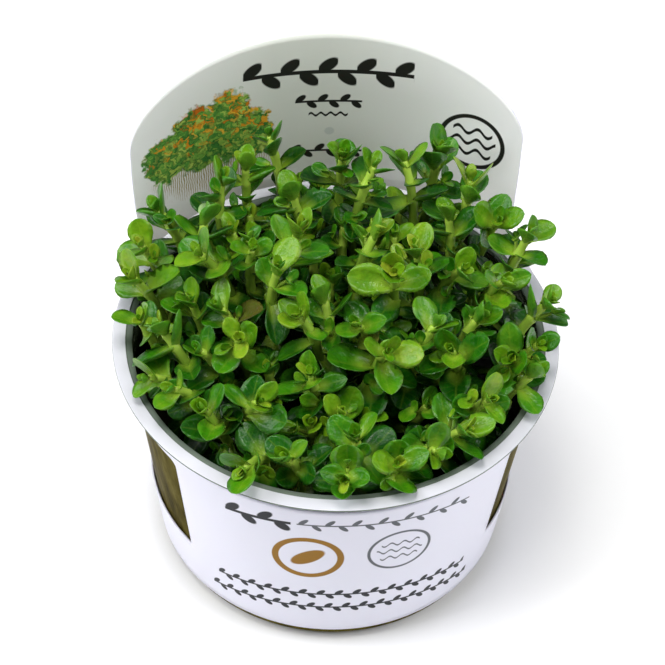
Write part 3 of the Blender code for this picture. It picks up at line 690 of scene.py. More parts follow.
def build_sheet(materials):
    """The sheet as one bent grid with its windows left out and an arched top at the back.

    Faces 0, 2 and 4 of the material list lie outside, and each next one inside.
    """
    back = HEADER_HALF_WIDTH / WALL_TOP_RADIUS
    corner = WINDOW_CORNER / WALL_TOP_RADIUS
    header = back * np.sin(0.5 * math.pi * np.linspace(0.0, 1.0, 61))
    side = np.concatenate([header, spaced(back, WINDOW_REAR, 0.03)[1:],
                           spaced(WINDOW_REAR, WINDOW_FRONT - corner, 0.035)[1:],
                           [WINDOW_FRONT], spaced(WINDOW_FRONT, math.pi, 0.035)[1:]])
    column = np.concatenate([-side[:0:-1], side])
    row = np.concatenate([spaced(SHEET_BOTTOM, WINDOW_BOTTOM, 2.0),
                          spaced(WINDOW_BOTTOM, WINDOW_TOP - WINDOW_CORNER, 2.0)[1:],
                          [WINDOW_TOP], spaced(WINDOW_TOP, SHEET_TOP, 1.2)[1:]])
    angle, z = np.meshgrid(column, row, indexing="ij")
    flat = [np.stack([angle, z], -1).reshape(-1, 2)]
    quads = grid_faces(len(column), len(row), False)
    middle = flat[0][quads].mean(1)
    size = np.abs(middle[:, 0])
    beside = (size > WINDOW_REAR) & (size < WINDOW_FRONT)
    hole = beside & (middle[:, 1] > WINDOW_BOTTOM) & (middle[:, 1] < WINDOW_TOP)
    quads = quads[~hole]
    kind = np.where(size[~hole] > WINDOW_FRONT, 2, 0)
    faces = quads.tolist()
    count = len(flat[0])
    levels = 30
    share = np.linspace(0.0, 1.0, levels + 1)
    across = np.concatenate([-header[:0:-1], header])
    arch = np.sqrt(np.maximum(0.0, 1.0 - (across / back) ** 2))
    top = HEADER_SHOULDER + (HEADER_TOP - HEADER_SHOULDER) * arch
    height = SHEET_TOP + (top[:, None] - SHEET_TOP) * share[None, :]
    crest = np.stack(np.broadcast_arrays(across[:, None], height), -1)
    flat.append(crest.reshape(-1, 2))
    faces += (grid_faces(len(across), levels + 1, False) + count).tolist()
    kind = kind.tolist() + [4] * (len(faces) - len(kind))
    count += len(flat[-1])
    for hand in (-1.0, 1.0):
        bend = np.radians(np.linspace(0.0, 90.0, 9))
        rim = np.stack([hand * (WINDOW_FRONT - corner + corner * np.cos(bend)),
                        WINDOW_TOP - WINDOW_CORNER + WINDOW_CORNER * np.sin(bend)], -1)
        flat.append(np.concatenate([[[hand * WINDOW_FRONT, WINDOW_TOP]], rim]))
        for k in range(8):
            ring = [count, count + 1 + k, count + 2 + k]
            faces.append(ring if hand < 0 else ring[::-1])
            kind.append(0)
        count += 10
    flat = np.concatenate(flat)
    points = sheet_surface(flat[:, 0], flat[:, 1])
    uv = np.stack([flat[:, 0] * WALL_TOP_RADIUS, flat[:, 1]], -1)
    piece = make_piece("wrap_sheet", points, faces, materials, uv)
    piece.data.polygons.foreach_set("material_index", np.array(kind, np.int32))
    work = bmesh.new()
    work.from_mesh(piece.data)
    bmesh.ops.remove_doubles(work, verts=work.verts, dist=0.01 * MM)
    bmesh.ops.recalc_face_normals(work, faces=work.faces)
    work.to_mesh(piece.data)
    work.free()
    thicken = piece.modifiers.new("sheet thickness", "SOLIDIFY")
    thicken.thickness = (SHEET_THICKNESS - 0.05) * MM
    thicken.offset = 0.0
    thicken.material_offset = 1
    return piece


# Materials
def new_material(name, settings):
    """A material with a Principled shader; returns it with its tree."""
    mat = bpy.data.materials.new(name)
    mat.use_nodes = True
    for socket, value in settings.items():
        mat.node_tree.nodes["Principled BSDF"].inputs[socket].default_value = value
    return mat, mat.node_tree


def output_of(node):
    """The first output of a node that is in use."""
    return next(output for output in node.outputs if output.enabled)


def finished(mat, normal, colour=None):
    """Link a bump, and a colour if there is one, to a material's shader; returns the material."""
    inputs = mat.node_tree.nodes["Principled BSDF"].inputs
    mat.node_tree.links.new(output_of(normal), inputs["Normal"])
    if colour is not None:
        mat.node_tree.links.new(output_of(colour), inputs["Base Color"])
    return mat


def add_node(tree, kind, inputs=None, stops=(), **settings):
    """Add a node with its settings and colour stops.

    An input is a value, an output, or a node, which stands for its first output in use.
    """
    node = tree.nodes.new(kind)
    for key, value in settings.items():
        setattr(node, key, value)
    for socket, value in (inputs or {}).items():
        if isinstance(value, bpy.types.Node):
            value = output_of(value)
        if isinstance(value, bpy.types.NodeSocket):
            tree.links.new(value, node.inputs[socket])
        else:
            node.inputs[socket].default_value = value
    for place, (position, code) in enumerate(stops):
        if place > 1:
            node.color_ramp.elements.new(1.0)
        element = node.color_ramp.elements[place]
        element.position, element.color = position, linear(code)
    return node


def layered(tree, base, layers):
    """Lay colours over a base one after the other, each with its own cover from 0 to 1."""
    for colour, cover in layers:
        base = add_node(tree, "ShaderNodeMix", {0: cover, 6: base, 7: colour}, data_type="RGBA")
    return base


def leaf_material():
    """Living leaf, fleshy, smooth and moist, with small clear highlights.

    Yellow green while young and deep green when old, each leaf a little different; it glows
    yellow green at its foot and along the midrib; a few old leaves are bleached or brown.
    """
    mat, tree = new_material("living_leaf", {
        "Roughness": 0.30, "IOR": 1.38, "Specular IOR Level": 0.42, "Subsurface Weight": 0.10,
        "Coat Weight": 0.18, "Coat Roughness": 0.28, "Coat IOR": 1.33,
        "Subsurface Scale": 0.0008, "Subsurface Radius": (0.35, 1.0, 0.12)})
    age, tone, under, faded = (
        add_node(tree, "ShaderNodeAttribute", attribute_name=key).outputs["Fac"]
        for key in ("age", "tone", "underside", "faded"))
    surface = add_node(tree, "ShaderNodeUVMap", uv_map="surface")
    parts = add_node(tree, "ShaderNodeSeparateXYZ", {0: surface})
    place = add_node(tree, "ShaderNodeTexCoord").outputs["Object"]
    cloud = add_node(tree, "ShaderNodeTexNoise", {"Vector": place, "Scale": 380.0, "Detail": 3.0})
    years = add_node(tree, "ShaderNodeMapRange", {0: age, 1: 0.1, 2: 4.0, 3: 0.78, 4: 0.06})
    mixed = add_node(tree, "ShaderNodeMath", {0: tone, 1: 0.56, 2: -0.28}, operation="MULTIPLY_ADD")
    wobble = add_node(tree, "ShaderNodeMath", {0: cloud, 1: 0.44, 2: -0.22}, operation="MULTIPLY_ADD")
    both = add_node(tree, "ShaderNodeMath", {0: mixed, 1: years}, operation="ADD")
    level = add_node(tree, "ShaderNodeMath", {0: both, 1: wobble}, operation="ADD")
    blade = add_node(tree, "ShaderNodeValToRGB", {0: level}, stops=(
        (0.0, "#053802"), (0.26, "#145703"), (0.50, "#367706"), (0.75, "#689510"), (1.0, "#9FAD2E")))
    away = add_node(tree, "ShaderNodeMath", {0: parts.outputs[1], 1: 0.5}, operation="SUBTRACT")
    along = parts.outputs[0]
    aside = add_node(tree, "ShaderNodeMath", {0: away}, operation="ABSOLUTE")
    narrow = add_node(tree, "ShaderNodeMath", {0: aside, 1: 0.5, 2: along}, operation="MULTIPLY_ADD")
    foot = add_node(tree, "ShaderNodeMapRange", {0: narrow, 1: 0.05, 2: 0.60, 3: 0.85, 4: 0.0})
    rib = add_node(tree, "ShaderNodeMapRange", {0: aside, 1: 0.0, 2: 0.05, 3: 0.16, 4: 0.0})
    slant = add_node(tree, "ShaderNodeMath", {0: aside, 1: -0.55, 2: along}, operation="MULTIPLY_ADD")
    comb = add_node(tree, "ShaderNodeMath", {0: slant, 1: 44.0}, operation="MULTIPLY")
    vein = add_node(tree, "ShaderNodeMath", {0: comb}, operation="SINE")
    veins = add_node(tree, "ShaderNodeMapRange", {0: vein, 1: 0.72, 2: 1.0, 3: 0.0, 4: 0.05})
    lines = add_node(tree, "ShaderNodeMath", {0: rib, 1: veins}, operation="MAXIMUM")
    pale = add_node(tree, "ShaderNodeMath", {0: foot, 1: lines}, operation="MAXIMUM")
    dull = add_node(tree, "ShaderNodeMath", {0: under, 1: 0.30}, operation="MULTIPLY")
    spots = add_node(tree, "ShaderNodeMath", {0: wobble, 1: faded}, operation="ADD")
    lost = add_node(tree, "ShaderNodeMapRange", {0: spots, 1: 0.3, 2: 0.75})
    drained = add_node(tree, "ShaderNodeMapRange", {0: faded, 1: 0.0, 2: -1.0, 3: 0.0, 4: 0.85})
    colour = layered(tree, blade, (
        (linear("#9AB936"), pale), (linear("#5E903A"), dull),
        (linear("#54451C"), lost), (linear("#A3BC88"), drained)))
    fine = add_node(tree, "ShaderNodeTexNoise", {"Vector": place, "Scale": 1300.0, "Detail": 2.0})
    bump = add_node(tree, "ShaderNodeBump", {"Strength": 0.4, "Distance": 0.0003, "Height": fine})
    dent = add_node(tree, "ShaderNodeBump", {
        "Strength": 0.5, "Distance": 0.0011, "Height": cloud, "Normal": bump})
    ridge = add_node(tree, "ShaderNodeBump", {
        "Strength": 0.3, "Distance": 0.0004, "Height": lines, "Normal": dent}, invert=True)
    return finished(mat, ridge, colour)


def stem_material():
    """Living stem, smooth and watery: pale yellow green at the tip, deeper green lower down."""
    mat, tree = new_material("living_stem", {
        "Roughness": 0.32, "IOR": 1.42, "Specular IOR Level": 0.42, "Subsurface Weight": 0.15,
        "Subsurface Scale": 0.0008, "Subsurface Radius": (0.4, 1.0, 0.15)})
    age = add_node(tree, "ShaderNodeAttribute", attribute_name="age").outputs["Fac"]
    tone = add_node(tree, "ShaderNodeAttribute", attribute_name="tone").outputs["Fac"]
    place = add_node(tree, "ShaderNodeTexCoord").outputs["Object"]
    tall = add_node(tree, "ShaderNodeMapping", {"Vector": place, "Scale": (1.0, 1.0, 0.3)})
    cloud = add_node(tree, "ShaderNodeTexNoise", {"Vector": tall, "Scale": 700.0, "Detail": 3.0})
    years = add_node(tree, "ShaderNodeMapRange", {0: age, 1: 0.0, 2: 26.0})
    wobble = add_node(tree, "ShaderNodeMath", {0: cloud, 1: 0.3, 2: years}, operation="MULTIPLY_ADD")
    level = add_node(tree, "ShaderNodeMath", {0: tone, 1: 0.2, 2: wobble}, operation="MULTIPLY_ADD")
    colour = add_node(tree, "ShaderNodeValToRGB", {0: level}, stops=(
        (0.12, "#AAC84A"), (0.42, "#9ABA44"), (0.68, "#789A2F"), (1.0, "#50671F")))
    bump = add_node(tree, "ShaderNodeBump", {"Strength": 0.3, "Distance": 0.0003, "Height": cloud})
    return finished(mat, bump, colour)


def gel_material(name, gloss, roughness):
    """Firm nutrient gel with roots in it: dark olive brown, streaked upright, painted nearly black on top
    as shade.

    Where it wets the wall it is seen through clear plastic, which gives it a smoother gloss.
    """
    mat, tree = new_material(name, {
        "Roughness": roughness, "IOR": 1.34, "Specular IOR Level": gloss})
    place = add_node(tree, "ShaderNodeTexCoord").outputs["Object"]
    tall = add_node(tree, "ShaderNodeMapping", {"Vector": place, "Scale": (1.0, 1.0, 0.28)})
    streak = add_node(tree, "ShaderNodeTexNoise", {
        "Vector": tall, "Scale": 330.0, "Detail": 4.0, "Roughness": 0.6})
    broad = add_node(tree, "ShaderNodeTexNoise", {"Vector": tall, "Scale": 90.0, "Detail": 2.0})
    level = add_node(tree, "ShaderNodeMath", {0: streak, 1: 0.65}, operation="MULTIPLY")
    both = add_node(tree, "ShaderNodeMath", {0: broad, 1: 0.4, 2: level}, operation="MULTIPLY_ADD")
    colour = add_node(tree, "ShaderNodeValToRGB", {0: both}, stops=(
        (0.36, "#302A10"), (0.48, "#4A421D"), (0.58, "#5A5226"), (0.72, "#70683E")))
    spot = add_node(tree, "ShaderNodeSeparateXYZ", {0: place})
    # Painted shade: near black laid over the gel's top inside the wall.
    top = add_node(tree, "ShaderNodeMapRange", {
        0: spot.outputs[2], 1: (GEL_TOP - 0.7) * MM, 2: (GEL_TOP - 0.5) * MM})
    round_spot = add_node(tree, "ShaderNodeCombineXYZ", {0: spot.outputs[0], 1: spot.outputs[1]})
    inward = add_node(tree, "ShaderNodeVectorMath", {0: round_spot}, operation="LENGTH")
    within = add_node(tree, "ShaderNodeMath", {
        0: inward.outputs["Value"], 1: (inner_radius(GEL_TOP) - 0.6) * MM}, operation="LESS_THAN")
    upper = add_node(tree, "ShaderNodeMath", {0: top, 1: within}, operation="MULTIPLY")
    bump = add_node(tree, "ShaderNodeBump", {"Strength": 0.3, "Distance": 0.0005, "Height": streak})
    return finished(mat, bump, layered(tree, colour, ((linear("#1C1D10"), upper),)))


def cup_material(name, tint, transmission, roughness):
    """Injection-moulded polypropylene with faint flow lines, clear or dim as its place makes it.

    The wall is clear and the lip milky; the ledge inside the lip and the inner wall over the gel
    are tinted dark grey-green as painted shade, and the lip's outer edge as a painted shadow line.
    """
    mat, tree = new_material(name, {
        "Base Color": linear(tint), "Roughness": roughness, "IOR": 1.49, "Specular IOR Level": 0.2,
        "Transmission Weight": transmission})
    place = add_node(tree, "ShaderNodeTexCoord").outputs["Object"]
    wave = add_node(tree, "ShaderNodeTexNoise", {"Vector": place, "Scale": 120.0, "Detail": 2.0})
    bump = add_node(tree, "ShaderNodeBump", {"Strength": 0.05, "Distance": 0.0005, "Height": wave})
    return finished(mat, bump)


# Print on the sheet
def line_mark(tree, off, weight, soft=0.1):
    """Ink near a line: 1 where the distance from it is under half its weight."""
    near = add_node(tree, "ShaderNodeMath", {0: off}, operation="ABSOLUTE")
    return add_node(tree, "ShaderNodeMapRange", {
        0: near, 1: 0.5 * weight - soft, 2: 0.5 * weight + soft, 3: 1.0, 4: 0.0})


def stretch(tree, x, centre, half, mark):
    """The part of a mark that lies within half a length of its centre."""
    across = add_node(tree, "ShaderNodeMath", {0: x, 1: centre}, operation="SUBTRACT")
    span = line_mark(tree, across, 2.0 * half)
    return add_node(tree, "ShaderNodeMath", {0: mark, 1: span}, operation="MULTIPLY")


def wave_mark(tree, x, y, centre, half, swing, length, weight):
    """Ink of a level sine line: near y = y0 + swing sin(2 pi (x - x0) / length)."""
    across = add_node(tree, "ShaderNodeMath", {0: x, 1: centre[0]}, operation="SUBTRACT")
    phase = add_node(tree, "ShaderNodeMath", {0: across, 1: 2.0 * math.pi / length}, operation="MULTIPLY")
    sine = add_node(tree, "ShaderNodeMath", {0: phase}, operation="SINE")
    line = add_node(tree, "ShaderNodeMath", {0: sine, 1: swing, 2: centre[1]}, operation="MULTIPLY_ADD")
    off = add_node(tree, "ShaderNodeMath", {0: y, 1: line}, operation="SUBTRACT")
    return stretch(tree, x, centre[0], half, line_mark(tree, off, weight))


def ring_mark(tree, spot, centre, radius, weight):
    """Ink of a ring: near the given distance from its centre."""
    gap = add_node(tree, "ShaderNodeVectorMath", {0: spot, 1: (*centre, 0.0)}, operation="DISTANCE")
    off = add_node(tree, "ShaderNodeMath", {0: gap.outputs["Value"], 1: radius}, operation="SUBTRACT")
    return line_mark(tree, off, weight)


def oval_mark(tree, spot, centre, size, turn, soft=0.06):
    """Ink of a filled oval, turned by an angle in degrees."""
    local = add_node(tree, "ShaderNodeMapping", {
        "Vector": spot, "Location": (*centre, 0.0), "Rotation": (0.0, 0.0, math.radians(turn)),
        "Scale": (*size, 1.0)}, vector_type="TEXTURE")
    reach = add_node(tree, "ShaderNodeVectorMath", {0: local}, operation="LENGTH")
    return line_mark(tree, reach.outputs["Value"], 2.0, soft)


def twig_mark(tree, x, y, centre, half, pitch, leaf, turn, stem):
    """Ink of a level twig: a stem with one slanted leaf for each pitch, above and below in turn."""
    across = add_node(tree, "ShaderNodeMath", {0: x, 1: centre[0] - half}, operation="SUBTRACT")
    cell = add_node(tree, "ShaderNodeMath", {0: across, 1: pitch}, operation="DIVIDE")
    share = add_node(tree, "ShaderNodeMath", {0: cell}, operation="FRACT")
    along = add_node(tree, "ShaderNodeMath", {0: share, 1: pitch}, operation="MULTIPLY")
    turns = add_node(tree, "ShaderNodeMath", {0: cell, 1: math.pi}, operation="MULTIPLY")
    swing = add_node(tree, "ShaderNodeMath", {0: turns}, operation="SINE")
    flip = add_node(tree, "ShaderNodeMath", {0: swing}, operation="SIGN")
    off = add_node(tree, "ShaderNodeMath", {0: y, 1: centre[1]}, operation="SUBTRACT")
    above = add_node(tree, "ShaderNodeMath", {0: off, 1: flip}, operation="MULTIPLY")
    spot = add_node(tree, "ShaderNodeCombineXYZ", {0: along, 1: above})
    rise = 0.72 * leaf[0] * math.sin(math.radians(turn)) + 0.35 * leaf[1]
    blade = oval_mark(tree, spot, (0.5 * pitch, rise), leaf, turn, 0.1)
    line = line_mark(tree, off, stem, 0.05)
    ink = add_node(tree, "ShaderNodeMath", {0: blade, 1: line}, operation="MAXIMUM")
    return stretch(tree, x, centre[0], half, ink)


def thicket_print(tree, surface, parts):
    """A bed of plants: small leaves in many greens with warm tips in mounds, tan stems below.

    The mounds and the ground are ovals with frayed edges; a leaf is a cell about 1 mm wide.
    """
    shake = add_node(tree, "ShaderNodeTexNoise", {"Vector": surface, "Scale": 0.5, "Detail": 3.0})
    moved = add_node(tree, "ShaderNodeVectorMath", {
        0: shake.outputs["Color"], 1: (6.0, 6.0, 0.0), 2: (-3.0, -3.0, 0.0)}, operation="MULTIPLY_ADD")
    rough = add_node(tree, "ShaderNodeVectorMath", {0: surface, 1: moved}, operation="ADD")
    mound = 0.0
    mounds = (
        ((-38.5, 76.0), (6.0, 7.0)), ((-31.0, 79.0), (6.6, 10.0)),
        ((-22.5, 80.5), (6.4, 11.2)), ((-16.5, 77.0), (4.6, 7.6)))
    for centre, size in mounds:
        hill = oval_mark(tree, rough, centre, size, 0.0)
        mound = add_node(tree, "ShaderNodeMath", {0: mound, 1: hill}, operation="MAXIMUM")
    cells = add_node(tree, "ShaderNodeTexVoronoi", {"Vector": rough, "Scale": 0.95})
    hue = add_node(tree, "ShaderNodeSeparateColor", {0: cells.outputs["Color"]})
    green = add_node(tree, "ShaderNodeValToRGB", {0: hue.outputs[0]}, stops=(
        (0.0, "#3C7A34"), (0.35, "#5C9C40"), (0.70, "#86B248"), (1.0, "#B4CC5C")))
    warm = add_node(tree, "ShaderNodeValToRGB", {0: hue.outputs[1]}, stops=(
        (0.0, "#C4681E"), (0.5, "#DC9426"), (1.0, "#E8BC40")))
    lift = add_node(tree, "ShaderNodeMapRange", {0: parts.outputs[1], 1: 72.0, 2: 92.0, 3: -0.15, 4: 0.45})
    chance = add_node(tree, "ShaderNodeMath", {0: hue.outputs[2], 1: lift}, operation="ADD")
    tips = add_node(tree, "ShaderNodeMapRange", {0: chance, 1: 0.80, 2: 0.92})
    shade = add_node(tree, "ShaderNodeMapRange", {0: cells, 1: 0.40, 2: 0.75, 3: 0.0, 4: 0.6})
    leafy = layered(tree, green, ((warm, tips), (linear("#234F26"), shade)))
    reeds = add_node(tree, "ShaderNodeMath", {0: parts.outputs[0], 1: 11.0}, operation="MULTIPLY")
    sway = add_node(tree, "ShaderNodeMath", {0: shake, 1: 9.0, 2: reeds}, operation="MULTIPLY_ADD")
    comb = add_node(tree, "ShaderNodeMath", {0: sway}, operation="SINE")
    stems = add_node(tree, "ShaderNodeMapRange", {0: comb, 1: -0.1, 2: 0.5})
    ground = oval_mark(tree, rough, (-27.0, 69.8), (13.5, 7.4), 0.0, 0.2)
    between = add_node(tree, "ShaderNodeMath", {0: stems, 1: ground}, operation="MULTIPLY")
    return (linear("#B0A070"), between), (leafy, mound)


def header_print(tree, surface, parts):
    """The back panel: a bed of plants at the left, twigs in the middle, water lines in a ring.

    Under the ink, white is painted in towards its free ends as painted light.
    """
    black = linear("#232321")
    x, y = parts.outputs[0], parts.outputs[1]
    # Painted light: white laid over the panel, growing from 6 mm to 50 mm away from x = -6 mm.
    off = add_node(tree, "ShaderNodeMath", {0: x, 1: 6.0}, operation="ADD")
    outward = add_node(tree, "ShaderNodeMath", {0: off}, operation="ABSOLUTE")
    glow = add_node(tree, "ShaderNodeMapRange", {0: outward, 1: 6.0, 2: 50.0})
    marks = [
        twig_mark(tree, x, y, (0.8, 93.8), 19.8, 4.4, (2.9, 1.55), 42.0, 1.1),
        twig_mark(tree, x, y, (1.1, 84.9), 7.8, 2.6, (1.45, 0.8), 42.0, 0.6),
        wave_mark(tree, x, y, (1.1, 80.9), 4.6, 0.42, 2.3, 0.7),
        twig_mark(tree, x, y, (0.8, 69.5), 8.5, 2.8, (1.45, 0.8), 42.0, 0.6),
        ring_mark(tree, surface, (35.4, 78.0), 7.6, 1.15)]
    for z, half in ((81.2, 4.8), (78.0, 5.8), (74.8, 4.8)):
        marks.append(wave_mark(tree, x, y, (35.4, z), half, 0.9, 4.8, 1.0))
    dot = oval_mark(tree, surface, (1.5, 75.6), (1.15, 1.15), 0.0, 0.15)
    inked = [(black, mark) for mark in marks] + [(linear("#C9CEC8"), dot)]
    return [(linear("#FFFFFF"), glow), *thicket_print(tree, surface, parts)] + inked


def panel_print(tree, surface, parts):
    """The front panel: twigs and water lines, a brown ring with a leaf, a grey ring with waves.

    x runs from the panel's middle; y follows lines that were straight on the flat sheet, which
    dip by 0.0034 x^2 once it is bent round the cone.
    """
    dark, grey, brown = linear("#24262A"), linear("#5A5D62"), linear("#8E6408")
    around, height = parts.outputs[0], parts.outputs[1]
    half_round = math.pi * WALL_TOP_RADIUS
    size = add_node(tree, "ShaderNodeMath", {0: around}, operation="ABSOLUTE")
    flipped = add_node(tree, "ShaderNodeMath", {0: half_round, 1: size}, operation="SUBTRACT")
    sense = add_node(tree, "ShaderNodeMath", {0: around}, operation="SIGN")
    x = add_node(tree, "ShaderNodeMath", {0: flipped, 1: sense}, operation="MULTIPLY")
    square = add_node(tree, "ShaderNodeMath", {0: x, 1: x}, operation="MULTIPLY")
    y = add_node(tree, "ShaderNodeMath", {0: square, 1: 0.0034, 2: height}, operation="MULTIPLY_ADD")
    spot = add_node(tree, "ShaderNodeCombineXYZ", {0: x, 1: y})
    waves = ((40.6, 4.6), (37.8, 5.6), (35.0, 4.6))
    return [
        (dark, twig_mark(tree, x, y, (-20.5, 50.3), 7.8, 3.9, (2.2, 1.25), 42.0, 1.0)),
        (grey, twig_mark(tree, x, y, (8.9, 50.3), 20.3, 2.9, (1.5, 0.62), 48.0, 0.5)),
        (brown, ring_mark(tree, spot, (-9.0, 36.6), 7.6, 1.6)),
        (brown, oval_mark(tree, spot, (-9.0, 36.8), (4.7, 2.2), 38.0)),
        (grey, ring_mark(tree, spot, (12.4, 37.8), 7.4, 0.75)),
        *[(grey, wave_mark(tree, x, y, (12.4, z), half, 0.6, 3.1, 0.6)) for z, half in waves],
        (dark, twig_mark(tree, x, y, (0.4, 20.8), 33.6, 2.2, (1.3, 0.72), 42.0, 0.6)),
        (dark, twig_mark(tree, x, y, (0.4, 15.0), 36.0, 2.2, (1.3, 0.72), 42.0, 0.6))]


def sheet_material(name, tint, coat, artwork=None):
    """Calendered white polypropylene sheet, satin, offset printed: an even skin, flat ink."""
    mat, tree = new_material(name, {
        "Roughness": 0.32, "IOR": 1.49, "Specular IOR Level": 0.08,
        "Subsurface Weight": 0.02, "Subsurface Scale": 0.002,
        "Coat Weight": coat, "Coat Roughness": 0.24})
    place = add_node(tree, "ShaderNodeTexCoord").outputs["Object"]
    cloud = add_node(tree, "ShaderNodeTexNoise", {"Vector": place, "Scale": 60.0, "Detail": 3.0})
    faint = add_node(tree, "ShaderNodeMapRange", {0: cloud, 3: 0.0, 4: 0.05})
    marks = [(linear("#AEB4A8"), faint)]
    if artwork:
        surface = add_node(tree, "ShaderNodeUVMap", uv_map="surface")
        parts = add_node(tree, "ShaderNodeSeparateXYZ", {0: surface})
        marks += artwork(tree, surface, parts)
    skin = add_node(tree, "ShaderNodeTexNoise", {"Vector": place, "Scale": 900.0, "Detail": 2.0})
    bump = add_node(tree, "ShaderNodeBump", {"Strength": 0.04, "Distance": 0.0003, "Height": skin})
    return finished(mat, bump, layered(tree, linear(tint), marks))


# Build the object
foot = wall_radius(FOOT_FILLET) - FOOT_FILLET
inner = FOOT_FILLET - WALL_THICKNESS
cup_profile = [(0.0, 0.0), (foot * 0.5, 0.0)] + arc((foot, FOOT_FILLET), FOOT_FILLET, -90, 0, 9)
cup_profile += [(wall_radius(z), z) for z in (15.0, 30.0, 45.0, GEL_FILM, 56.0, LIP_UNDER - 0.7)]
cup_profile += [(WALL_TOP_RADIUS + 0.15, LIP_UNDER - 0.15), (WALL_TOP_RADIUS + 0.7, LIP_UNDER)]
bead = 0.5 * (LIP_TOP - LIP_UNDER)
cup_profile += arc((LIP_RADIUS - bead, LIP_UNDER + bead), bead, -90, 90, 9)
cup_profile += [(SHOULDER_RADIUS + 0.1, LIP_TOP), (SHOULDER_RADIUS, LIP_TOP - 0.03)]
cup_profile += [(SHOULDER_RADIUS - 0.1, LIP_TOP - 0.24), (SHOULDER_RADIUS - 0.25, LIP_TOP - 0.28)]
ledge = inner_radius(LIP_TOP) - LEDGE_REACH
cup_profile += [(ledge + 0.1, LIP_TOP - 0.38), (ledge, LIP_TOP - 0.6)]
cup_profile += [(ledge + 0.1, LIP_TOP - 1.0), (inner_radius(58.4), 58.4)]
cup_profile += [(inner_radius(z), z) for z in (56.0, 45.0, 30.0, 15.0)]
cup_profile += arc((foot, FLOOR_THICKNESS + inner), inner, 0, -90, 7)
cup_profile += [(foot * 0.5, FLOOR_THICKNESS), (0.0, FLOOR_THICKNESS)]
cup = turned("moulded_cup", cup_profile, [
    cup_material("clear_polypropylene", "#F1F5F2", 1.0, 0.06),
    cup_material("milky_polypropylene", "#DADAE2", 0.08, 0.25),
    # Painted shade: a dark grey-green tint for the ledge, and a painted shadow line at the lip's edge.
    cup_material("ledge_shade_polypropylene", "#707B70", 0.1, 0.2),
    gel_material("gel_behind_polypropylene", 0.002, 0.3),
    # Painted shade: a near black tint for the inner wall above the gel.
    cup_material("inner_wall_shade_polypropylene", "#2C3422", 0.1, 0.2)])
middle = np.array([p.center for p in cup.data.polygons]) / MM
facing = np.array([p.normal for p in cup.data.polygons])
reach, height = np.hypot(middle[:, 0], middle[:, 1]), middle[:, 2]
outside = (facing[:, :2] * middle[:, :2]).sum(1) + np.where(facing[:, 2] < -0.5, reach, 0.0) > 0.0
above_gel = ~outside & (height > GEL_TOP)
# Place in the list of materials: 0 the wall, 1 the lip, 2 the ledge and the lip's edge, tinted
# dark as painted shade, 3 the wall in front of the gel, 4 the inner wall above the gel, painted shade.
kind = np.where(height > LIP_UNDER - 0.9, 1, 0)
kind = np.where(above_gel & (reach < SHOULDER_RADIUS), 2, kind)
kind = np.where(outside & (height < GEL_FILM), 3, kind)
kind = np.where(above_gel & (height < LIP_TOP - 2.0), 4, kind)
# The lip's outer edge takes the dark ledge tint as a painted shadow line.
kind = np.where((reach > LIP_RADIUS - 0.4) & (height < LIP_TOP - 0.1), 2, kind)
cup.data.polygons.foreach_set("material_index", kind.astype(np.int32))
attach(cup, "root")
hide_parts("cup")

rim = inner_radius(GEL_TOP)
gel_profile = [(0.0, FLOOR_THICKNESS - WET_FILM), (foot * 0.5, FLOOR_THICKNESS - WET_FILM)]
gel_profile += arc((foot, FLOOR_THICKNESS + inner), inner + WET_FILM, -90, 0, 7)
gel_profile += [(inner_radius(z) + WET_FILM, z) for z in (12.0, 20.0, 28.0, 36.0, 39.6)]
gel_profile += [(rim + WET_FILM, GEL_TOP + 0.5), (rim - 0.4, GEL_TOP + 0.1)]
gel_profile += [(rim - 1.6, GEL_TOP - 0.25), (rim - 4.0, GEL_TOP - 0.4)]
gel_profile += [(r, GEL_TOP - 0.4) for r in (32.0, 24.0, 16.0, 8.0)] + [(0.0, GEL_TOP - 0.4)]
gel = turned("nutrient_gel", gel_profile, [gel_material("root_gel", 0.3, 0.3)])
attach(gel, "root")
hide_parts("growing_gel")

plain = sheet_material("white_sheet", "#E1E0EC", 0.0)
# The inside of the back panel is tinted a darker, greener grey than the rest of the sheet, as painted shade
# with a green cast from the plants.
sheet = build_sheet([
    plain, plain,
    sheet_material("white_sheet_front_print", "#E1E0EC", 0.0, panel_print), plain,
    plain, sheet_material("white_sheet_back_print", "#DDE0D7", 0.4, header_print)])
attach(sheet, "root")
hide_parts("label")

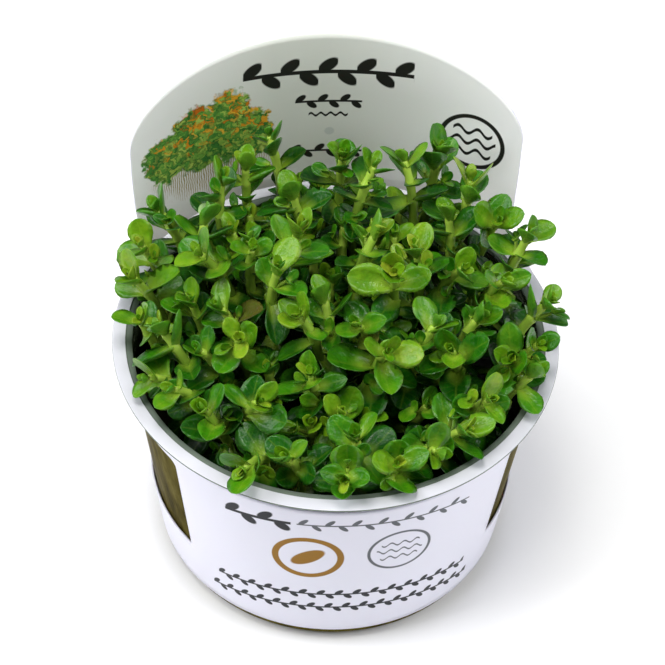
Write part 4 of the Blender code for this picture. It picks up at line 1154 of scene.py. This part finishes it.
crowd = Crowd()
paths = []
for number, (x, y, lift, turn, size) in enumerate(SHOOTS):
    paths.append(place_stem(crowd, number, x, y, lift, math.radians(turn)))
leaves = {}
lay_pairs(crowd, SHOOTS, paths, range(CAD_PAIRS), leaves, 0)
small, small_paths = fill_between(crowd, [(s[0], s[1]) for s in SHOOTS])
lay_pairs(crowd, SHOOTS, paths, (4, 5), leaves, 0)
lay_pairs(crowd, small, small_paths, range(5), leaves, len(SHOOTS))
tissue = [leaf_material(), stem_material()]
for number, (path, shoot) in enumerate(zip(paths + small_paths, list(SHOOTS) + small)):
    own = [((pair, hand), pose) for (n, pair, hand), pose in leaves.items() if n == number and pose]
    main = number < len(SHOOTS)
    name = "leafy_shoot_%02d" % (number + 1) if main else "young_shoot_%02d" % (number + 1 - len(SHOOTS))
    buds = axil_buds(crowd, number, own)
    piece = build_shoot(name, path, number, math.radians(shoot[3]), shoot[4], own, buds, tissue)
    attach(piece, "root")
    if main:
        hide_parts("shoot_%02d" % (number + 1))

# Floor, light and camera
paper = new_material("pale_floor", {"Base Color": linear("#FBFBFB"), "Roughness": 0.9})[0]
ground = [(a * FLOOR_REACH, b * FLOOR_REACH, -FLOOR_GAP) for a, b in ((-1, -1), (1, -1), (1, 1), (-1, 1))]
make_piece("studio_floor", ground, [(0, 1, 2, 3)], [paper], smooth=False)

world = bpy.data.worlds.new("studio_air")
world.use_nodes = True
bpy.context.scene.world = world
world.node_tree.nodes["Background"].inputs["Color"].default_value = linear("#F5F7FA")
world.node_tree.nodes["Background"].inputs["Strength"].default_value = SKY_STRENGTH


def soft_box(name, place, energy, size, colour):
    """A square area light that faces the middle of the object."""
    lamp = bpy.data.lights.new(name, "AREA")
    lamp.energy = energy
    lamp.size = size
    lamp.color = linear(colour)[:3]
    box = bpy.data.objects.new(name, lamp)
    aim = np.array([0.0, 0.0, 0.06]) - np.array(place)
    box.location = place
    box.rotation_mode = "QUATERNION"
    box.rotation_quaternion = Vector(aim).to_track_quat("-Z", "Y")
    bpy.context.scene.collection.objects.link(box)


for settings in SOFT_BOXES:
    soft_box(*settings)

back = np.array([0.0, -math.cos(CAMERA_RISE), math.sin(CAMERA_RISE)])
level = np.array([1.0, 0.0, 0.0])
upright = np.cross(back, level)
c, s = math.cos(CAMERA_ROLL), math.sin(CAMERA_ROLL)
right, up = c * level + s * upright, c * upright - s * level
target = np.array([0.0, 0.0, CAMERA_AIM * MM]) + MM * (CAMERA_SHIFT[0] * right + CAMERA_SHIFT[1] * up)
lens = bpy.data.cameras.new("photo_view")
lens.sensor_width = 36.0
lens.lens = CAMERA_LENS
lens.clip_start = 0.01
viewer = bpy.data.objects.new("photo_view", lens)
turn = Matrix([list(row) for row in np.stack([right, up, back], 1)]).to_4x4()
turn.translation = (target + back * CAMERA_DISTANCE).tolist()
viewer.matrix_world = turn
bpy.context.scene.collection.objects.link(viewer)
bpy.context.scene.camera = viewer
bpy.context.scene.view_settings.view_transform = "Standard"
